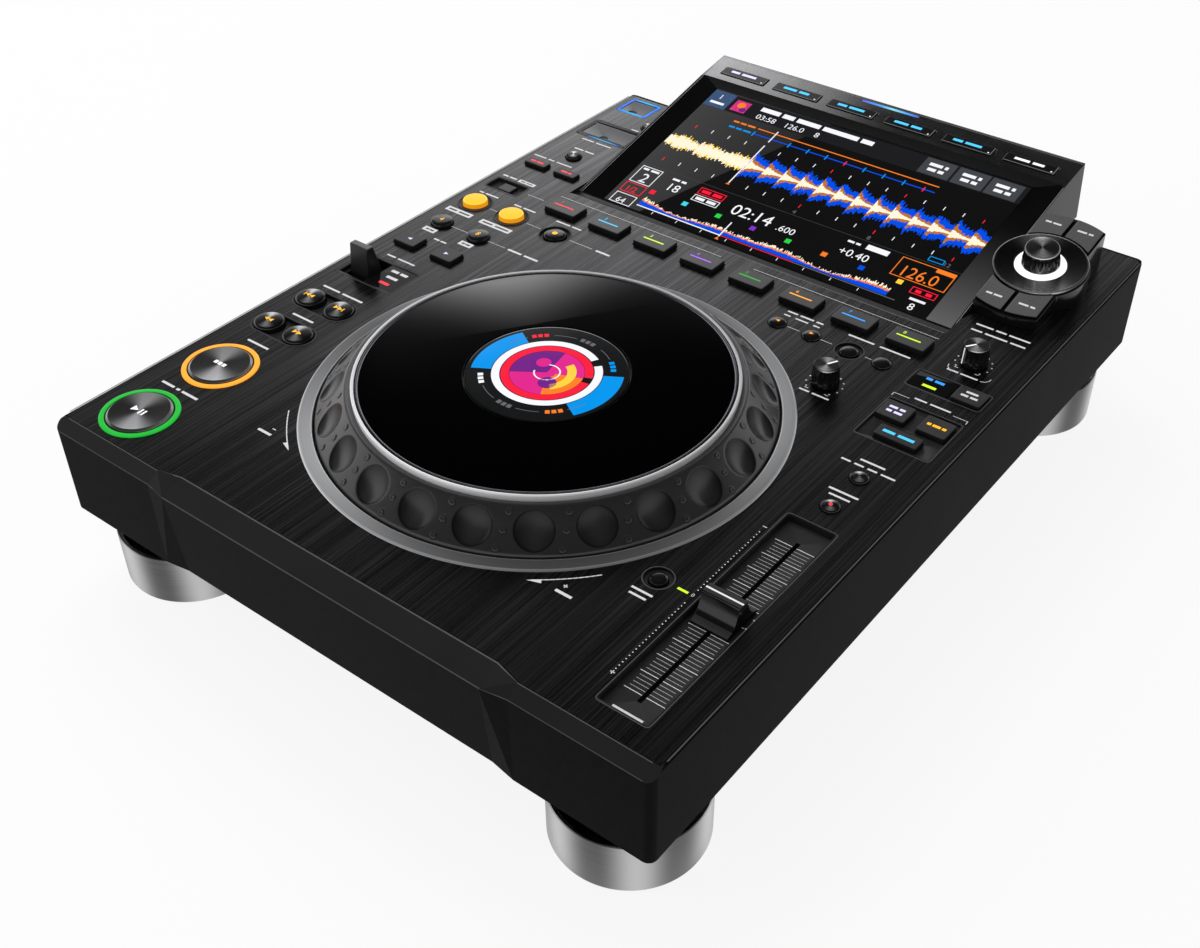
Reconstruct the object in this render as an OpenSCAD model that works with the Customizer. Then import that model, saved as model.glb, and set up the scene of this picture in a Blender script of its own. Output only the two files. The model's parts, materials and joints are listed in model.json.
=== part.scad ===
// Tabletop DJ media player with a large jog wheel, a tilted touch screen and a
// full set of sprung buttons. +Z is up, the player's front faces -Y and +X is its
// right. The origin is on the table, below the middle of the overall outline.

/* [Body] */
// Width of the case
case_w = 329; // [324:1:340]
// Depth of the case, from the panel's front edge to the rear wall
case_d = 416; // [412:1:430]
// Height of the case, without its feet
case_h = 48; // [46:0.5:60]
// Thickness of the case walls
wall = 2.5; // [2:0.1:3]
// Radius of the case's upright corners
corner_r = 4; // [2:0.5:5]
// Thickness of the brushed top panel
panel_t = 2; // [1.6:0.1:2.4]
// How far the front face stands before the panel's front edge
front_reach = 6.3; // [5:0.1:8]
// How far the middle of the front face stands further out at its top
bow_reach = 2.1; // [1:0.1:3]
// Height of the sloped band along the front edge
band_h = 4.2; // [3:0.1:6]
// Width of the bowed middle of the front
bow_w = 176; // [150:1:190]

/* [Feet] */
// Overall height of the feet
foot_h = 38; // [30:1:50]
// Outer diameter of a foot cup
cup_d = 66; // [50:1:66]
// Height of a foot cup
cup_h = 27.2; // [20:0.2:29]
// Wall of a foot cup
cup_wall = 2; // [1.5:0.1:4]
// Diameter of the stem inside a foot cup
foot_stem_d = 30; // [20:1:44]
// How far a rubber pad stands out below its cup
pad_out = 0.8; // [0.5:0.1:2]
// Distance of a foot's middle from the case's side
foot_side = 35.2; // [35:0.1:54]
// Distance of the front feet behind the panel's front edge
foot_front = 27.6; // [27.6:0.1:60]
// Distance between the front and the rear feet
foot_pitch = 355.7; // [300:0.1:355.7]

/* [Jog wheel] */
// Distance of the jog wheel's axis behind the panel's front edge
jog_back = 136.2; // [132:0.1:137]
// Diameter of the jog wheel over its dimpled edge
jog_d = 206; // [200:1:206]
// Height of the jog wheel's top above the panel
jog_top = 17; // [15:0.5:20]
// Height of the bright rim above the jog wheel's top disc
rim_h = 0.7; // [0.4:0.1:1]
// Outer diameter of the bright rim
rim_d = 171.6; // [165:0.2:174]
// Width of the bright rim
rim_w = 3.4; // [2:0.1:5]
// Number of finger dimples round the jog wheel
dimple_n = 24; // [18:1:26]
// Diameter of a finger dimple
dimple_d = 17; // [12:0.5:18]
// Outer diameter of the silver ring round the jog wheel
surround_d = 221.4; // [218:0.2:223]
// Diameter of the fixed round display in the jog wheel
jog_screen_d = 73; // [60:1:74]

/* [Screen] */
// Width of the screen housing
housing_w = 230; // [226:1:231]
// Angle of the screen to the panel
screen_tilt = 13.1; // [10:0.1:15]
// Width of the screen glass
screen_w = 199.2; // [180:0.2:204]
// Height of the screen glass
screen_h = 112.1; // [100:0.1:113]
// Number of keys above the screen
screen_key_n = 6; // [4:2:6]
// Pitch of the keys above the screen
screen_key_pitch = 36.3; // [32:0.1:36.6]
// Width of a key above the screen
screen_key_w = 29.6; // [24:0.1:31]

/* [Selector] */
// Distance of the rotary selector's middle from the case's right side
pod_side = 33.3; // [30.5:0.1:33.5]
// Distance of the rotary selector behind the panel's front edge
pod_back = 359; // [352:1:362]
// Height of the selector ring above the panel
pod_h = 14; // [13.6:0.1:18]
// Forward tilt of the selector's top
pod_tilt = 10; // [8:0.1:12]
// Outer diameter of the spun ring round the selector
pod_ring_d = 46.6; // [44:0.2:48]
// Height of the selector knob above its ring
selector_h = 9.6; // [8:0.1:14]

/* [Controls] */
// Travel of the keys and buttons
travel = 1; // [0.6:0.1:1.2]
// Diameter of the two large transport buttons
transport_d = 29.4; // [26:0.2:30.2]
// Outer diameter of the lit rings round the transport buttons
light_ring_d = 35.6; // [34:0.2:38]
// Travel of the tempo slider to each side
slider_travel = 50; // [40:1:52]
// Length of the slider's well
well_l = 128; // [126:1:130]
// Width of the slider's well
well_w = 24.4; // [22:0.2:24.6]
// Depth of the slider's well
well_depth = 3.5; // [3:0.1:5]
// Diameter of the two small knobs
knob_d = 13.4; // [12:0.1:14]
// Height of the two small knobs above the panel
knob_h = 10.8; // [8:0.1:14]
// Width of a cue key
pad_key_w = 20.2; // [16:0.2:24]
// Depth of a cue key
pad_key_d = 12.2; // [10:0.2:13]
// Pitch of the cue keys
pad_key_pitch = 29.9; // [28.6:0.1:30.5]
// Swing of the direction lever to each side, in degrees
lever_swing = 10; // [6:1:12]

/* [Rear] */
// Diameter of a phono jack's outer barrel
phono_d = 8.3; // [8:0.1:8.6]
// Length of a phono jack's barrel outside the rear wall
phono_l = 9; // [7:0.5:11]

/* [Hidden] */
$fn = 96;

// Clearances shared by every pair of mating pieces
fit = 0.1;          // between pieces that are fixed to each other
slip = 0.3;         // between a key and the edge of its hole
seat_gap = 0.1;     // between a sprung key's flange and what it bears on
shaft_gap = 0.05;   // between a turning shaft and its bore, radially
eps = 0.01;

// Overall frame
overhang = 30.6;                       // how far the screen housing passes the rear wall
front_lip = front_reach + bow_reach;
overall_d = front_lip + case_d + overhang;
panel_y = front_lip - overall_d / 2;   // the panel's front edge
panel_z = foot_h + case_h;             // the panel's upper surface
panel_under = -panel_t;                // the panel's lower surface, from its upper one
rim_bevel = 1.2;
panel_w = case_w - 2 * rim_bevel - 2 * fit;
panel_d = case_d - rim_bevel - fit;
bow_run = 12;                          // length over which the bow fades out
bow_notch = 3.3;                       // how far the bow cuts back the panel's edge
bow_foot = 4.4;                        // reach of the bowed face at its foot

// Sprung keys and buttons
flange_t = 1;
flange_w = 1.2;
stem_r = 1.6;
board_t = 1.6;
board_top = -10.4;                     // upper face of the control boards
board_rise = board_top + travel + seat_gap;
tray_t = 1.2;
tray_lip = 1.6;                        // how far a tray's flange reaches under the panel
cup_seat = panel_under - tray_t;       // the foot of the trays and cups

// Places on the panel: [sideways, back from the panel's front edge]. The left and the right
// groups keep their distance from the case's sides.
left_x = -case_w / 2;
right_x = case_w / 2;
jog_x = 0.9;
foot_x = case_w / 2 - foot_side;
pod_x = right_x - pod_side;
play_at = [left_x + 26.3, 21];
cue_at = [left_x + 26.3, 67];
search_at = [left_x + 26.1, 105.8];
track_search_at = [left_x + 26.1, 132.6];
search_pitch = 19.8;
lever_at = [left_x + 25.5, 169.9];
beat_jump_at = [left_x + 29.9, 202.2];
beat_loop_at = [left_x + 29.3, 227.2];
loop_in_at = [left_x + 15.9, 254.1];
loop_out_at = [left_x + 41.7, 254.1];
reloop_at = [left_x + 72.2, 253.7];
recall_at = [left_x + 17.5, 278.5];
mode_at = [left_x + 24.9, 308.4];
time_at = [left_x + 24.2, 328.6];
usb_at = [left_x + 15.8, 402];
usb_stop_at = [left_x + 36.1, 383.5];
card_at = [left_x + 23.2, 364.4];
cue_call_at = [right_x - 108.5, 253.7];
delete_at = [right_x - 78.3, 253.7];
memory_at = [right_x - 60.8, 253.7];
jog_adjust_at = [right_x - 73.5, 224.2];
vinyl_speed_at = [right_x - 27, 279.6];
jog_mode_at = [right_x - 26.5, 253.7];
sync_at = [right_x - 26.7, 217.3];
tempo_range_at = [right_x - 26.3, 174.4];
master_tempo_at = [right_x - 26.3, 151.2];
tempo_reset_at = [right_x - 56.9, 74.4];
slider_at = [right_x - 26.3, 74.4];
pad_row_at = [jog_x, 276.8];
pair_pitch = 25.7;
mode_pitch = 21;
call_pitch = 19;

// Sizes of the controls
light_ring_rise = 0.6;
light_ring_gap = 0.6;    // between a transport button and its lit ring
transport_rise = 1.5;
search_r = 7.6;
search_pocket = [38, 17.6];
search_floor = -1.8;
search_rise = 2;
jump_key = [14.4, 10.8];
jump_rise = 2.2;
loop_step_r = 6;
loop_ring_r = 9.5;
loop_cap_r = 6.8;
loop_rise = 2.4;
cup_wall_small = 0.6;
reloop_cup_r = 8.8;
reloop_r = 6;
small_button_r = 4.6;
delete_cup_r = 7.3;
reset_cup_r = 6.7;
reset_r = 3.9;
recessed_rise = 0.8;
recall_tray = [23.6, 13];
recall_key_size = [9, 7.6];
mode_key = [14.6, 6.4];
mode_rise = 2;
time_r = 4.7;
pad_key_rise = 2.6;
key_corner = 0.9;
tray_corner = 2;
jog_mode_tray = [38.2, 15.4];
jog_mode_key_size = [14.2, 11.8];
jog_mode_key_x = 10.9;
jog_mode_window = [20, 12.6];
jog_mode_window_x = -7.9;
sync_tray = [37.6, 33.4];
sync_key_size = [13.8, 12.6];
sync_key_x = 10;
sync_key_back = 6.4;
key_sync_size = [20.6, 8.2];
key_sync_front = -9.2;
tray_floor = -1;
tray_key_rise = 1.6;
round_small_r = 4.3;
round_small_rise = 1.5;
usb_stop_r = 4;

// Direction lever
lever_frame = [39, 23.2];
lever_window = [17.4, 19.6];
lever_window_x = 9.4;
lever_slot_x = -8.4;
lever_w = 12.6;
lever_pivot_z = -9;
lever_slot = [17.6, 16.8 - 2 * lever_pivot_z * sin(lever_swing)];
lever_pin_r = 1.5;
lever_ear_t = 2;
lever_top = 14;
lever_profile = [[-4, -2.6], [-5, 7.4], [-3.3, 23], [0.7, 23], [5.4, 7.4], [4, -2.6]];

// Tempo slider
groove_w = 1.8;
slider_blade = [1.2, 5];
slider_cap = [17.2, 20];
slider_top = 8.4;
carriage = [8, 9, 3];
fader_wall = 1;
groove_l = 2 * slider_travel + slider_blade[1] + 1.5;
fader_l = 2 * slider_travel + carriage[1] + 2 * fader_wall + 3;
fader_h = carriage[2] + 2 * seat_gap;

// Jog wheel
jog_r = jog_d / 2;
rim_r = rim_d / 2;
post_r = 38;
post_wall = 3.5;
hub_wall = 5;
web_t = 2.6;
disc_t = 2.5;
window_t = 1.2;
web_top = jog_top - disc_t - fit;
skirt_bottom = -1.6;
carrier_z = -12;
carrier_t = 2.4;
carrier_post_r = 3.2;
hub_bottom = carrier_z + carrier_t + seat_gap;
surround_r = surround_d / 2;
surround_in = jog_r + 1.1;
surround_wall = 0.9;
surround_rise = 0.8;
carrier_post_ring = surround_in + surround_wall + fit + carrier_post_r + 0.2;
carrier_r = carrier_post_ring + carrier_post_r + 2.3;
edge_top = 1.2;          // top of the jog wheel's upright outer edge
shoulder_r = rim_r + 3;  // inner end of the dimpled slope
shoulder_z = jog_top - 1.6;
dimple_turn = 6.6;       // of the first dimple from the wheel's right
pip_r = 1.5;
pip_h = 0.4;
pip_pitch = 7.4;         // between pips, down the slope

// Screen housing, as a profile across its width: [back, up]
face_foot = [301.7, -2.2];
ledge_front = 294.3;
ledge_top = -0.4;
bend_back = 418;
bend_z = face_foot[1] + (bend_back - face_foot[0]) * tan(screen_tilt);
strip_tilt = screen_tilt - 3.2;
strip_end = case_d + overhang - 4.6;
strip_z = bend_z + (strip_end - bend_back) * tan(strip_tilt);
housing_back = case_d + overhang;
housing_floor = -9.8;
overhang_floor = -5;
housing_wall = 2.5;
screen_t = 3;
screen_lift = 2;         // from the face's foot to the screen's lower edge
screen_sink = 1.6;
recess_side = 1.4;         // of the housing's face left beside the screen's sloped recess
recess_top = 7;            // width of the recess's slope above the screen
recess_foot = 0.6;         // and below it
screen_key_d = 7.2;
screen_key_rise = 0.5;
screen_key_travel = 0.5;
screen_key_along = 10.4; // from the bend to the middle of the keys, along the strip
cut_w = housing_w + 2 * fit;
led_strip = [36, 1.4];
strip_led_along = 21;

// Selector pod
pod_half_w = 16.9;
pod_r = 41;
pod_key_r = 40.2;
pod_key_half_w = 16;
pod_key_split = 1.8;
pod_key_top = -0.4;                   // of the keys, from the ring's upper face
pod_wall = 2;
pod_drop = 1.6;                       // from the ring's upper face to the pod's own top
pod_ring_r = pod_ring_d / 2;
pod_flange_r = pod_ring_r + 0.6;
pod_ring_t = 1.5;
pod_left = housing_w / 2 + fit;       // the pod's wall beside the screen housing
selector_r = 8;
selector_skirt_r = 9.7;
selector_flutes = 18;
lit_disc_r = 12.8;
lit_disc_top = -1.1;
selector_travel = 0.8;
shaft_r = 3;
shaft_l = 9;                          // length of the selector's shaft below the ring's top

// Flap and lid
flap_frame = [21.4, 18.8];
flap_size = [16.8, 14.4];
card_frame = [36, 22];
card_size = [31, 14.8];
led_bar = [23, 1.4];
led_bar_y = -9.4;
flap_t = 1.6;
flap_sink = 0.2;
hinge_r = 0.95;
hinge_stub = 1;
notch_r = 3;
usb_socket = [12.6, 5.1, 10];
usb_shelf_t = 3;
usb_shell_t = 0.8;

// Rear connectors: [sideways, up from the case's floor]
jack_z = 24;
phono_x = [-118, -98, -70];
phono_in = 10;
phono_neck_d = 7.6;
phono_hole_d = 3.2;
lan_at = -36;
lan_size = [16, 13.4, 16];
lan_hole = [11.8, 8, 11];
usb_b_at = -4;
usb_b_size = [12, 11, 12];
usb_b_hole = [8.6, 7.6, 8];
inlet_at = 112;
inlet_size = [28, 20.4, 18];
inlet_hole = [23.4, 15.6, 14];

// Inner pieces
power_box = [90, 120, 24];
power_at = [100, 300];
main_board = [150, 110];
main_at = [-55, 340];
post_h = 5;

// ---------------------------------------------------------------- helpers

// Stands its children on the panel, at a place of the lists above
module on_panel(place, z = 0)
    translate([place[0], panel_y + place[1], panel_z + z]) children();

module rounded(size, r) {
    w = size[0];
    d = size[1];
    square([w - 2 * r, d], center = true);
    if (d > 2 * r) square([w, d - 2 * r], center = true);
    for (x = [-1, 1], y = [-1, 1])
        translate([x * (w / 2 - r), y * (d / 2 - r)]) circle(r);
}

function grown(size, by) = [size[0] + 2 * by, size[1] + 2 * by];

module slab(size, r, z0, z1)
    translate([0, 0, z0]) linear_extrude(z1 - z0) rounded(size, r);

module disc(r, z0, z1)
    translate([0, 0, z0]) cylinder(r = r, h = z1 - z0);

module tube(r_out, r_in, z0, z1)
    translate([0, 0, z0]) linear_extrude(z1 - z0) difference() {
        circle(r_out);
        circle(r_in);
    }

// Extrudes an outline of [back, up] points across the width w, centred
module across(w, points)
    translate([-w / 2, 0, 0]) rotate([90, 0, 90]) linear_extrude(w) polygon(points);

// A sprung round button: cap, flange below the seat and stem towards its switch
module round_button(r, rise, seat = panel_under) {
    disc(r, seat - seat_gap - flange_t, rise);
    disc(r + flange_w, seat - seat_gap - flange_t, seat - seat_gap);
    disc(stem_r, board_rise, seat - seat_gap);
}

// A sprung rectangular key of the same build
module square_key(size, rise, seat = panel_under, r = key_corner) {
    slab(size, r, seat - seat_gap - flange_t, rise);
    slab(grown(size, flange_w), r, seat - seat_gap - flange_t, seat - seat_gap);
    disc(stem_r, board_rise, seat - seat_gap);
}

// Two places side by side
module pair(pitch)
    for (side = [-1, 1]) translate([side * pitch / 2, 0, 0]) children();

// A tray let into the panel: rim, floor and a flange under the panel
module tray(size, r, floor_z) {
    low = min(floor_z - tray_t, panel_under - tray_t);
    difference() {
        union() {
            slab(size, r, low, 0);
            slab(grown(size, tray_lip), r, panel_under - tray_t, panel_under);
        }
        slab(grown(size, -tray_t), max(r - tray_t, 0.6), floor_z, 1);
        children();
    }
}

// A round cup let into the panel, open at its foot for the button
module button_cup(r_out, r_button, floor_z, rise = 0) {
    r_hole = r_button + slip;
    low = panel_under - tray_t;
    difference() {
        union() {
            disc(r_out, low, rise);
            disc(r_out + tray_lip, low, panel_under);
        }
        disc(r_hole, low - 1, rise + 1);
        disc(r_out - cup_wall_small, floor_z, rise + 1);
    }
}

// ------------------------------------------------------------------ case

function outer_front() = [[20, -case_h], [-front_reach, -case_h],
    [-front_reach, -band_h], [0, 0], [20, 0]];
function bowed_front() = [[20, -case_h], [-bow_foot, -case_h],
    [-front_lip, -band_h], [bow_notch, 0], [20, 0]];

module case_outline(inset) {
    w = case_w - 2 * inset;
    d = case_d + front_reach - 2 * inset;
    translate([0, (case_d - front_reach) / 2]) rounded([w, d], corner_r - inset / 2);
}

module case_solid() {
    outer_w = (case_w - bow_w) / 2 - bow_run;
    intersection() {
        translate([0, 0, -case_h]) linear_extrude(case_h) case_outline(0);
        translate([0, case_d, 0]) rotate([90, 0, 0]) linear_extrude(case_d + front_reach)
            polygon([[-case_w / 2, -case_h], [-case_w / 2, -rim_bevel],
                [-case_w / 2 + rim_bevel, 0], [case_w / 2 - rim_bevel, 0],
                [case_w / 2, -rim_bevel], [case_w / 2, -case_h]]);
        union() {
            translate([-case_w / 2, 20 - eps, -case_h]) cube([case_w, case_d, case_h]);
            for (side = [-1, 1])
                translate([side * (case_w - outer_w) / 2, 0, 0]) across(outer_w, outer_front());
        }
    }
    across(bow_w, bowed_front());
    for (side = [-1, 1]) hull() {
        translate([side * bow_w / 2, 0, 0]) across(eps, bowed_front());
        translate([side * (bow_w / 2 + bow_run), 0, 0]) across(eps, outer_front());
    }
}

module panel_outline(grow) {
    w = panel_w + 2 * grow;
    d = panel_d + 2 * grow;
    difference() {
        translate([0, panel_d / 2]) rounded([w, d], corner_r - rim_bevel);
        polygon([[-bow_w / 2 - bow_run, -grow - 1], [-bow_w / 2 - bow_run, -grow],
            [-bow_w / 2, bow_notch - grow], [bow_w / 2, bow_notch - grow],
            [bow_w / 2 + bow_run, -grow], [bow_w / 2 + bow_run, -grow - 1]]);
    }
}

module foot_places()
    for (x = [-1, 1], back = [foot_front, foot_front + foot_pitch])
        translate([x * foot_x, panel_y + back, 0]) children();

module rear_holes() {
    rear = case_d - wall - 1;
    for (x = phono_x)
        translate([x, rear, -case_h + jack_z]) rotate([-90, 0, 0])
            cylinder(d = phono_neck_d + 2 * fit, h = wall + 2);
    for (hole = [[lan_at, lan_size], [usb_b_at, usb_b_size], [inlet_at, inlet_size]])
        translate([hole[0] - hole[1][0] / 2 - fit, rear, -case_h + jack_z - hole[1][1] / 2 - fit])
            cube([hole[1][0] + 2 * fit, wall + 2, hole[1][1] + 2 * fit]);
}

module bottom_case() {
    inner_w = case_w - 2 * wall;
    ledge = 3;
    front_in = wall - bow_foot;
    front_ceiling = -band_h - wall;
    color("#232426") translate([0, panel_y, panel_z]) {
        difference() {
            case_solid();
            translate([0, 0, -case_h + wall]) linear_extrude(case_h - wall - panel_t)
                translate([0, (case_d - wall + bow_notch) / 2 + ledge / 2])
                    rounded([inner_w, case_d - wall - bow_notch - ledge], corner_r / 2);
            translate([-inner_w / 2 + 2, front_in, -case_h + wall])
                cube([inner_w - 4, 3 * ledge + bow_foot, case_h - wall + front_ceiling]);
            translate([play_at[0], play_at[1], 0]) {
                disc(light_ring_d / 2 + tray_lip + fit, cup_seat - fit, 0);
                disc(transport_d / 2 + flange_w + slip, front_ceiling - 1, 0);
            }
            translate([0, 0, panel_under]) linear_extrude(panel_t + 1) panel_outline(fit);
            translate([-cut_w / 2, case_d - wall - 1, housing_floor - fit])
                cube([cut_w, wall + 2, 30]);
            rear_holes();
        }
    }
}

// ------------------------------------------------------------- top panel

module round_hole(r) disc(r, panel_under - 1, 1);
module slab_hole(size, r) slab(size, r, panel_under - 1, 1);

module panel_holes() {
    for (place = [play_at, cue_at])
        on_panel(place) round_hole(light_ring_d / 2 + fit);
    for (place = [search_at, track_search_at])
        on_panel(place) slab_hole(grown(search_pocket, fit), search_pocket[1] / 2);
    on_panel(lever_at) slab_hole(grown(lever_frame, fit), tray_corner);
    on_panel(beat_jump_at) pair(pair_pitch) slab_hole(grown(jump_key, slip), key_corner);
    on_panel(beat_loop_at) pair(pair_pitch) round_hole(loop_step_r + slip);
    for (place = [loop_in_at, loop_out_at])
        on_panel(place) round_hole(loop_ring_r + fit);
    on_panel(reloop_at) round_hole(reloop_cup_r + fit);
    on_panel(delete_at) round_hole(delete_cup_r + fit);
    on_panel(tempo_reset_at) round_hole(reset_cup_r + fit);
    on_panel(recall_at) slab_hole(grown(recall_tray, fit), tray_corner);
    on_panel(mode_at) pair(mode_pitch) slab_hole(grown(mode_key, slip), key_corner);
    on_panel(time_at) round_hole(time_r + slip);
    on_panel(usb_stop_at) round_hole(usb_stop_r + slip);
    on_panel(usb_at) slab_hole(grown(flap_frame, fit), tray_corner);
    on_panel(card_at) slab_hole(grown(card_frame, fit), tray_corner);
    on_panel(cue_call_at) pair(call_pitch) round_hole(small_button_r + slip);
    on_panel(memory_at) round_hole(small_button_r + slip);
    for (place = [jog_adjust_at, vinyl_speed_at])
        on_panel(place) round_hole(shaft_r + shaft_gap);
    on_panel(jog_mode_at) slab_hole(grown(jog_mode_tray, fit), tray_corner);
    on_panel(sync_at) slab_hole(grown(sync_tray, fit), tray_corner);
    for (place = [tempo_range_at, master_tempo_at])
        on_panel(place) round_hole(round_small_r + slip);
    on_panel(slider_at) slab_hole(grown([well_w, well_l], fit), tray_corner);
    pad_key_places() slab_hole([pad_key_w + 2 * slip, pad_key_d + 2 * slip], key_corner);
    on_panel([jog_x, jog_back]) round_hole(surround_in + surround_wall + fit);
    on_panel([pod_x, pod_back]) selector_opening();
}

module pad_key_places()
    for (i = [0:7])
        on_panel([pad_row_at[0] + (i - 3.5) * pad_key_pitch, pad_row_at[1]]) children();

// Opening in the panel below the pod, for the selector's shaft and the keys' stems
module selector_opening()
    slab_hole([2 * pod_half_w - 8, 2 * pod_r - 14], tray_corner);

module top_panel() {
    color("#3a3a3c") difference() {
        translate([0, panel_y, panel_z + panel_under]) linear_extrude(panel_t)
            panel_outline(0);
        panel_holes();
        translate([-cut_w / 2, panel_y + ledge_front - fit, panel_z - panel_t - 1])
            cube([cut_w, case_d, panel_t + 2]);
    }
}

// ---------------------------------------------------------- panel bezels

module search_pocket_tray() {
    size = search_pocket;
    tray(size, size[1] / 2, search_floor)
        pair(search_pitch) disc(search_r + slip, -10, 1);
}

module lever_bezel() {
    low = panel_under - tray_t;
    ear_y = 2 * lever_pin_r + 3;
    difference() {
        union() {
            slab(lever_frame, tray_corner, low, 0);
            slab(grown(lever_frame, tray_lip), tray_corner, low, panel_under);
            for (side = [-1, 1])
                translate([lever_slot_x + side * (lever_w / 2 + slip + lever_ear_t / 2), 0, 0])
                    slab([lever_ear_t, ear_y], 0.5, lever_pivot_z - lever_pin_r - 1.5, low);
        }
        translate([lever_slot_x, 0, 0]) slab([lever_w + 2 * slip, lever_slot[1]], 0.5, low - 1, 1);
        translate([lever_slot_x, 0, 0]) slab(lever_slot, 0.5, low + tray_t, 1);
        translate([lever_window_x, 0, 0]) slab(lever_window, 0.5, -0.3, 1);
        translate([lever_slot_x - lever_w, 0, lever_pivot_z]) rotate([0, 90, 0])
            cylinder(r = lever_pin_r + shaft_gap, h = 2 * lever_w);
    }
}

module recall_bezel()
    tray(recall_tray, tray_corner, panel_under)
        slab(grown(recall_key_size, slip), key_corner, -10, 1);

module jog_mode_bezel() {
    tray(jog_mode_tray, tray_corner, tray_floor)
        translate([jog_mode_key_x, 0, 0]) slab(grown(jog_mode_key_size, slip), key_corner, -10, 1);
    translate([jog_mode_window_x, 0, 0]) slab(jog_mode_window, 0.8, tray_floor, -0.2);
}

module sync_key_places()
    for (side = [-1, 1]) translate([side * sync_key_x, sync_key_back, 0]) children();

module sync_bezel()
    tray(sync_tray, tray_corner, tray_floor) {
        sync_key_places() slab(grown(sync_key_size, slip), key_corner, -10, 1);
        translate([0, key_sync_front, 0]) slab(grown(key_sync_size, slip), key_corner, -10, 1);
    }

module slider_well() {
    low = -well_depth - tray_t;
    box_low = low - fader_h - fader_wall;
    difference() {
        union() {
            slab([well_w, well_l], tray_corner, low, 0);
            slab([well_w + 2 * tray_lip, well_l + 2 * tray_lip], tray_corner,
                panel_under - tray_t, panel_under);
            slab([carriage[0] + 2 * (slip + fader_wall), fader_l], 0.5, box_low, low + eps);
        }
        slab([well_w - 2 * tray_t, well_l - 2 * tray_t], tray_corner / 2, -well_depth, 1);
        slab([groove_w, groove_l], 0.2, low - 1, 0);
        slab([carriage[0] + 2 * slip, fader_l - 2 * fader_wall], 0.3, low - fader_h, low);
    }
}

module card_bezel() {
    low = panel_under - tray_t;
    floor_z = -2.6;
    lid_y = 0.4;
    difference() {
        union() {
            slab(card_frame, tray_corner, low, 0);
            slab(grown(card_frame, tray_lip), tray_corner, low, panel_under);
        }
        translate([0, lid_y, 0]) slab(grown(card_size, slip), 0.4, floor_z, 1);
        translate([0, lid_y, 0]) lid_hinge_bore(card_size);
        translate([2, lid_y - 1, 0]) slab([24.6, 2.4], 0.3, low - 1, floor_z + 1);
        translate([2, led_bar_y, 0]) slab(grown(led_bar, fit), 0.4, low - 1, 1);
    }
}

module lid_hinge_bore(size)
    translate([0, size[1] / 2 - hinge_r, -flap_sink - flap_t / 2]) rotate([0, 90, 0])
        translate([0, 0, -size[0] / 2 - slip - hinge_stub])
            cylinder(r = hinge_r + shaft_gap, h = size[0] + 2 * (slip + hinge_stub));

module panel_bezels() {
    color("#1b1b1c") {
        on_panel(search_at) search_pocket_tray();
        on_panel(track_search_at) search_pocket_tray();
        on_panel(lever_at) lever_bezel();
        on_panel(recall_at) recall_bezel();
        on_panel(jog_mode_at) jog_mode_bezel();
        on_panel(sync_at) sync_bezel();
        on_panel(slider_at) slider_well();
        on_panel(card_at) card_bezel();
        for (place = [loop_in_at, loop_out_at])
            on_panel(place) button_cup(loop_ring_r, loop_cap_r, 0, 0.3);
        on_panel(reloop_at) button_cup(reloop_cup_r, reloop_r, -1.4);
        on_panel(delete_at) button_cup(delete_cup_r, small_button_r, -1.4);
        on_panel(tempo_reset_at) button_cup(reset_cup_r, reset_r, -1.4);
    }
}

// ---------------------------------------------------------- light guides

module light_ring() {
    r = light_ring_d / 2;
    r_in = transport_d / 2 + light_ring_gap;
    tube(r, r_in, cup_seat, light_ring_rise);
    tube(r + tray_lip, r_in, cup_seat, panel_under);
}

// The flap's frame, with the shell of the socket under it
module usb_frame() {
    shelf = -flap_sink - flap_t - slip;
    socket_low = shelf - usb_socket[2];
    color("#dfe6e2") on_panel(usb_at) difference() {
        union() {
            slab(flap_frame, tray_corner, shelf - usb_shelf_t, 0);
            slab(grown(flap_frame, tray_lip), tray_corner, cup_seat, panel_under);
            translate([0, -1, 0])
                slab(grown(usb_socket, usb_shell_t), 0.4, socket_low, shelf - usb_shelf_t + eps);
        }
        slab(grown(flap_size, slip), 0.4, shelf, 1);
        translate([0, -1, 0]) slab(usb_socket, 0.3, socket_low - 1, 0);
        lid_hinge_bore(flap_size);
    }
}

module light_guides() {
    color("#dfe6e2") {
        on_panel(play_at) light_ring();
        on_panel(cue_at) light_ring();
        on_panel(card_at) translate([2, led_bar_y, 0]) slab(led_bar, 0.4, cup_seat, -0.1);
        on_strip(strip_led_along) slab(led_strip, 0.5, -housing_wall, 0.1);
        on_pod() tube(lit_disc_r - fit, shaft_r + slip, -pod_drop, lit_disc_top);
    }
}

// ------------------------------------------------------------ trim rings

module jog_surround()
    rotate_extrude() polygon([[surround_in, panel_under], [surround_in, surround_rise],
        [surround_r - 0.6, surround_rise], [surround_r, 0.2], [surround_r, 0],
        [surround_in + surround_wall, 0], [surround_in + surround_wall, panel_under]]);

module selector_ring()
    rotate_extrude() polygon([[lit_disc_r, -pod_ring_t], [lit_disc_r, -0.7],
        [pod_ring_r - 1, 0], [pod_ring_r, -0.5], [pod_ring_r, -pod_ring_t]]);

module trim_rings() {
    color("#b9bbbd") {
        on_panel([jog_x, jog_back]) jog_surround();
        on_pod() selector_ring();
    }
}

// ------------------------------------------------------------- jog wheel

module jog_base() {
    post_top = web_top + disc_t - window_t - 1.6;
    color("#55585b") on_panel([jog_x, jog_back]) {
        tube(carrier_r, post_r - post_wall, carrier_z, carrier_z + carrier_t);
        tube(post_r, post_r - post_wall, carrier_z, post_top);
        for (turn = [45:90:315])
            rotate(turn) translate([carrier_post_ring, 0, 0])
                disc(carrier_post_r, carrier_z + carrier_t - eps, panel_under);
    }
}

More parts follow.
